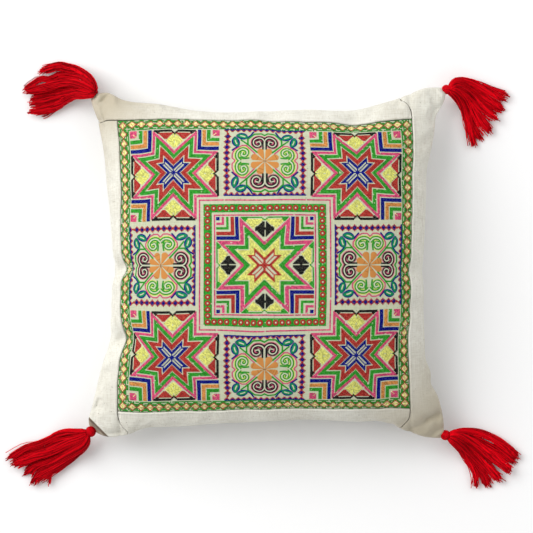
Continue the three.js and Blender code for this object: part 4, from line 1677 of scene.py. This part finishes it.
class CoverColours(bpy.types.PropertyGroup):
    """Colours of the cloth and of the threads"""

    linen: color_property("Linen", "Border strips and back", (0.788, 0.775, 0.692))
    linen_dark: color_property("Linen slubs", "Darker threads of the linen", (0.575, 0.54, 0.445))
    # The seam colour is a painted shade for the depth of the face's seams
    seam: color_property("Seam", "Shaded depth of the face's seams", (0.20, 0.15, 0.10))
    ground: color_property("Ground", "Even-weave cloth of the panel", (0.59, 0.62, 0.44))
    ground_dark: color_property("Ground threads", "Darker threads of the ground", (0.44, 0.45, 0.31))
    green: color_property("Green", "Star and band thread", (0.033, 0.303, 0.029))
    pink: color_property("Pink", "Star outline thread", (0.61, 0.077, 0.181))
    blue: color_property("Blue", "Corner band thread", (0.004, 0.009, 0.195))
    red: color_property("Red", "Star and ring thread", (0.405, 0.038, 0.031))
    orange: color_property("Orange", "Flower thread", (0.60, 0.257, 0.07))
    yellow: color_property("Yellow", "Star field thread", (0.665, 0.665, 0.176))
    black: color_property("Black", "Scroll thread", (0.013, 0.013, 0.013))
    edge_green: color_property("Edge green", "Thread of the panel's edge", (0.036, 0.24, 0.032))
    ground_thread: color_property("Bare", "Bare lines in the drawn flowers", (0.60, 0.62, 0.46))
    leaf: color_property("Leaf", "Leaf thread of the flowers", (0.015, 0.25, 0.09))
    cream: color_property("Cream", "Thread of the edge's diamonds", (0.80, 0.68, 0.34))
    knot: color_property("Knot", "Knots in the rings", (0.74, 0.56, 0.46))
    tassel: color_property("Tassel", "Thread of the tassels", (0.55, 0.001, 0.007))


class TasselSizes(bpy.types.PropertyGroup):
    """Make-up of the tassels"""

    threads: IntProperty(
        name="Threads", description="Threads in one tassel's skirt", default=480, min=40, max=900
    )
    thickness: FloatProperty(
        name="Thread radius", description="Radius of one thread", default=0.00055, unit="LENGTH", min=0.0002
    )


class StageSettings(bpy.types.PropertyGroup):
    """Floor, light and camera"""

    camera_height: FloatProperty(
        name="Camera height", description="Height of the camera over the floor", default=12.0, unit="LENGTH"
    )
    light: FloatProperty(name="Light", description="Power of the main light", default=238.0, unit="POWER")
    sky: FloatProperty(name="Sky", description="Strength of the light from all round", default=0.58)


class CUSHION_OT_filling(bpy.types.Operator):
    """Fill the cover: its cloth settles under the pressure and its seams are drawn in"""

    bl_idname = "cushion.filling"
    bl_label = "Filling"

    def execute(self, context):
        CUSHION.settle()
        CUSHION.sew()
        return {"FINISHED"}


# The grids of the body, the panel's cloth and a strip, and how much their lines crowd to the
# ends. All that the script makes stays under a million triangles.
BODY_LINES = 131
BODY_CROWD = 2.2
PANEL_LINES = 131
PANEL_CROWD = 1.6
STRIP_LINES = (236, 32)
STRIP_CROWD = 1.3
LINEN_CONTRAST = 0.5
GROUND_CONTRAST = 0.4

# The filling's top under the face cloth: where its rim starts and is full, and its depths there
RIM_SHARES = (0.90, 0.97)
RIM_DEPTH = 0.3
INNER_DEPTH = 3.2
# Within this share the filling's top takes the painted seam shade, with this roughness
SEAM_SHADE_TO = 0.985
SEAM_ROUGHNESS = 0.95


class CUSHION_OT_back(bpy.types.Operator):
    """Build the filled back with the side seams"""

    bl_idname = "cushion.back"
    bl_label = "Back and filling"

    @staticmethod
    def under(u, v):
        """How deep the filling's top lies, deeper inside so that the face's seams show dark."""
        rim = smooth_step(*RIM_SHARES, np.maximum(np.abs(u), np.abs(v)))
        return -RIM_DEPTH * rim - INNER_DEPTH * (1 - rim)

    def execute(self, context):
        colours = context.scene.cover_colours
        lines = lines_between(-1, 1, BODY_LINES, BODY_CROWD)
        linen_tones = (tuple(colours.linen), tuple(colours.linen_dark))
        material = linen("back_linen", *linen_tones, LINEN_CONTRAST)
        back = slab_piece(
            "cushion_body",
            lines,
            lines,
            lambda u, v: CUSHION.at(u, v, self.under(u, v), 1),
            lambda u, v: CUSHION.at(u, v, 0.0, -1),
            material,
        )
        # Only the depth of the face's seams shows of the filling's top, and there it takes a painted shade
        back.data.materials.append(Finish("seam_depth", tuple(colours.seam), SEAM_ROUGHNESS).material)
        middles = np.stack(np.meshgrid(lines[1:], lines[1:]), -1).reshape(-1, 2) - 1 / len(lines)
        deep = np.zeros(len(back.data.polygons), dtype=np.int32)
        deep[: len(middles)] = np.abs(middles).max(axis=1) < SEAM_SHADE_TO
        back.data.polygons.foreach_set("material_index", deep)
        shown(back, "back_linen", "cushion_back")
        return {"FINISHED"}


class CUSHION_OT_panel(bpy.types.Operator):
    """Build the embroidered panel's ground cloth"""

    bl_idname = "cushion.panel"
    bl_label = "Panel cloth"

    def execute(self, context):
        colours = context.scene.cover_colours
        edge = PANEL_EDGE - SEWN_GAP / COVER
        lines = lines_between(-edge, edge, PANEL_LINES, PANEL_CROWD)
        ground_tones = (tuple(colours.ground), tuple(colours.ground_dark))
        material = linen("panel_ground", *ground_tones, GROUND_CONTRAST)
        panel = slab_piece(
            "panel_cloth",
            lines,
            lines,
            lambda u, v: CUSHION.at(u, v, CLOTH),
            lambda u, v: CUSHION.at(u, v, 0.0),
            material,
        )
        shown(panel, "embroidery", "embroidered_panel")
        return {"FINISHED"}


class CUSHION_OT_borders(bpy.types.Operator):
    """Build the four strips of linen round the panel"""

    bl_idname = "cushion.borders"
    bl_label = "Border strips"

    @staticmethod
    def upper(u, v):
        """The strips stand up a little beside the panel, over their turned edges."""
        off = (np.maximum(np.abs(u), np.abs(v)) - PANEL_EDGE) * COVER / 2 - SEAM_RIDGE_OFF
        return CLOTH + SEAM_RIDGE * np.exp(-((off / SEAM_RIDGE_WIDTH) ** 2))

    def execute(self, context):
        colours = context.scene.cover_colours
        linen_tones = (tuple(colours.linen), tuple(colours.linen_dark))
        material = linen("border_linen", *linen_tones, LINEN_CONTRAST)
        gap = SEWN_GAP / COVER
        inner, outer = PANEL_EDGE + gap, 1.0
        strips = (
            ("border_top", (-1, PANEL_EDGE - gap), (inner, outer)),
            ("border_right", (inner, outer), (-1, 1)),
            ("border_bottom", (-PANEL_EDGE + gap, PANEL_EDGE - gap), (-outer, -inner)),
            ("border_left", (-outer, -inner), (-1, PANEL_EDGE - gap)),
        )
        width = (COVER - PANEL) / 2
        for name, u_range, v_range in strips:
            across, up = u_range[1] - u_range[0], v_range[1] - v_range[0]
            columns, rows = STRIP_LINES if across > up else reversed(STRIP_LINES)
            us = lines_between(*u_range, columns, STRIP_CROWD)
            vs = lines_between(*v_range, rows, STRIP_CROWD)
            strip = slab_piece(
                name + "_cloth",
                us,
                vs,
                lambda u, v: CUSHION.at(u, v, self.upper(u, v)),
                lambda u, v: CUSHION.at(u, v, 0.0),
                material,
            )
            shown(strip, "border_linen", name)
            length = max(across, up) * COVER / 2
            flat = (length * MM, width * MM) if across > up else (width * MM, length * MM)
        return {"FINISHED"}


class CUSHION_OT_embroidery(bpy.types.Operator):
    """Work the cross stitch, the drawn flowers and the rings"""

    bl_idname = "cushion.embroidery"
    bl_label = "Embroidery"

    def execute(self, context):
        colours = context.scene.cover_colours
        rng = np.random.default_rng(STITCH_SEED)
        chart, x, y = stitch_chart()
        drawn = flower_bars()
        for thread in (*THREADS, "ground"):
            flats, heights, shades = [], [], []
            if thread in THREAD:
                here = chart == THREAD[thread]
                flat, height = cross_bars(x[here], y[here], rng)
                flats.append(flat)
                heights.append(height)
                shades.append(rng.integers(0, 3, len(flat)))
            for flat, height in drawn.get(thread, []):
                flats.append(flat)
                heights.append(height)
                shades.append((rng.uniform(0, 1, len(flat)) < DARK_SATIN).astype(int))
            flat, height = np.concatenate(flats), np.concatenate(heights)
            points, faces = bar_mesh(flat, height)
            shade = np.repeat(np.concatenate(shades), len(BAR_FACES))
            color = tuple(getattr(colours, "ground_thread" if thread == "ground" else thread))
            materials = thread_shades("thread_" + thread, color, STITCH_TONES)
            piece = mesh_piece("stitches_" + thread, points, faces, materials, shade, smooth=False)
            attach(piece, "root")
        points, faces, spots = ring_mesh()
        ring_thread = thread_shades("thread_ring", tuple(colours.red), (1.0,))
        rings = mesh_piece("stitches_rings", points, faces, ring_thread)
        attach(rings, "root")
        half = np.full(len(spots), KNOT_REACH)
        knots = bars(
            spots - (KNOT_REACH, 0), spots + (KNOT_REACH, 0), half, KNOT_TOP, KNOT_BASE, KNOT_RIDGE
        )
        points, faces = bar_mesh(*knots)
        knot_thread = [Finish("thread_knot", tuple(colours.knot), THREAD_ROUGHNESS).material]
        knots = mesh_piece("stitches_knots", points, faces, knot_thread)
        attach(knots, "root")
        return {"FINISHED"}


class CUSHION_OT_tassels(bpy.types.Operator):
    """Build the four tassels with their heads and bindings"""

    bl_idname = "cushion.tassels"
    bl_label = "Tassels"

    def execute(self, context):
        colours, sizes = context.scene.cover_colours, context.scene.tassel_sizes
        rng = np.random.default_rng(TASSEL_SEED)
        radius = sizes.thickness / MM
        for tassel in TASSELS:
            # Painted light: the right-hand tassels' thread is made lighter
            painted_light_colour = toned(colours.tassel, RIGHT_PAINTED_LIGHT if tassel["side"][0] > 0 else 1.0)
            materials = thread_shades("thread_" + tassel["name"], painted_light_colour, TASSEL_TONES)
            centres, radii = tassel_threads(tassel, sizes.threads, radius, rng)
            points, faces = thread_tubes(centres, radii)
            per_thread = len(faces) // len(centres)
            shade = np.repeat(rng.integers(0, 3, len(centres)), per_thread)
            head, along, aside, up = tassel_axes(tassel)
            ball, ball_faces = wound_ball(head, along, aside, up, tassel["head"])
            faces = np.concatenate([faces, ball_faces + len(points)])
            points = np.concatenate([points, ball]) * MM
            cords = rng.integers(0, 2, 3 * BALL_CORDS)
            shade = np.concatenate([shade, np.repeat(cords, len(ball_faces) // len(cords))])
            piece = mesh_piece(tassel["name"] + "_threads", points, faces, materials, shade)
            shown(piece, "tassel_thread", tassel["name"])
            angle = np.linspace(0, 2 * math.pi * WRAP_TURNS, WRAP_TURNS * WRAP_PLACES + 1)
            rise = tassel["head"] * WRAP_START + WRAP_LENGTH * angle / angle[-1]
            coil = (
                head
                + np.outer(rise, along)
                + np.outer(np.cos(angle) * NECK_RADIUS, aside)
                + np.outer(np.sin(angle) * NECK_RADIUS, up)
            )
            points, faces = coil_tube(coil, along, head, WRAP_THREAD)
            binding = mesh_piece(tassel["name"] + "_wrap", points * MM, faces, materials[1:2])
            shown(binding, "binding_thread", tassel["name"] + "_binding")
        return {"FINISHED"}


# The camera's scale holds at this height over the floor, in metres
SEAM_LEVEL = 0.09
SENSOR_WIDTH = 36
SEEN_TO = 40

# The floor lies just under the cushion. Each light has a place, a width and a share of the power
FLOOR_SIZE = 6
FLOOR_DROP = 0.0004
FLOOR_TONE = (0.93, 0.93, 0.93)
FLOOR_ROUGHNESS = 0.9
LIGHTS = (
    ("main_light", (-3.3, 2.0, 3.6), 4.4, 1.0),
    ("fill_light", (2.2, 2.2, 3.0), 2.6, 0.09),
)


class CUSHION_OT_stage(bpy.types.Operator):
    """Lay the floor and set the lights and the camera"""

    bl_idname = "cushion.stage"
    bl_label = "Stage"

    def execute(self, context):
        settings = context.scene.stage_settings
        bpy.ops.object.select_all(action="DESELECT")
        bpy.ops.mesh.primitive_plane_add(size=FLOOR_SIZE, location=(0, 0, -FLOOR_DROP))
        floor = context.active_object
        floor.name = "floor"
        bpy.ops.object.transform_apply(location=True)
        floor.data.materials.append(Finish("floor_paper", FLOOR_TONE, FLOOR_ROUGHNESS).material)
        for name, place, width, share in LIGHTS:
            data = bpy.data.lights.new(name, "AREA")
            data.energy = settings.light * share
            data.size = width
            light = bpy.data.objects.new(name, data)
            context.collection.objects.link(light)
            light.location = place
            aim = -light.location.normalized()
            light.rotation_mode = "QUATERNION"
            light.rotation_quaternion = aim.to_track_quat("-Z", "Y")
        world = bpy.data.worlds.new("room")
        world.use_nodes = True
        background = world.node_tree.nodes["Background"]
        background.inputs["Color"].default_value = (1, 1, 1, 1)
        background.inputs["Strength"].default_value = settings.sky
        context.scene.world = world
        context.scene.view_settings.view_transform = "Standard"
        data = bpy.data.cameras.new("camera")
        camera = bpy.data.objects.new("camera", data)
        context.collection.objects.link(camera)
        middle = seen_at((PHOTO_SIZE / 2, PHOTO_SIZE / 2)) * MM
        camera.location = (*middle, settings.camera_height)
        data.sensor_width = SENSOR_WIDTH
        distance = settings.camera_height - SEAM_LEVEL
        data.lens = data.sensor_width * distance / (PHOTO_SIZE * PHOTO_MM * MM)
        data.clip_end = SEEN_TO
        context.scene.camera = camera
        return {"FINISHED"}


class CUSHION_PT_panel(bpy.types.Panel):
    """Lists the steps that build the cushion"""

    bl_label = "Cushion cover"
    bl_idname = "CUSHION_PT_panel"
    bl_space_type = "VIEW_3D"
    bl_region_type = "UI"
    bl_category = "Cushion"

    def draw(self, context):
        layout = self.layout
        for group in (
            context.scene.cover_colours,
            context.scene.tassel_sizes,
            context.scene.stage_settings,
        ):
            for key in group.__annotations__:
                layout.prop(group, key)
        for step in STEPS:
            layout.operator(step.bl_idname)


STEPS = (
    CUSHION_OT_filling,
    CUSHION_OT_back,
    CUSHION_OT_panel,
    CUSHION_OT_borders,
    CUSHION_OT_embroidery,
    CUSHION_OT_tassels,
    CUSHION_OT_stage,
)
GROUPS = {"cover_colours": CoverColours, "tassel_sizes": TasselSizes, "stage_settings": StageSettings}
CLASSES = (*GROUPS.values(), *STEPS, CUSHION_PT_panel)


def register():
    for item in CLASSES:
        bpy.utils.register_class(item)
    for key, group in GROUPS.items():
        setattr(bpy.types.Scene, key, PointerProperty(type=group))


def unregister():
    for key in GROUPS:
        delattr(bpy.types.Scene, key)
    for item in reversed(CLASSES):
        bpy.utils.unregister_class(item)


def main():
    register()
    for step in STEPS:
        section, action = step.bl_idname.split(".")
        getattr(getattr(bpy.ops, section), action)()


if __name__ == "__main__":
    main()
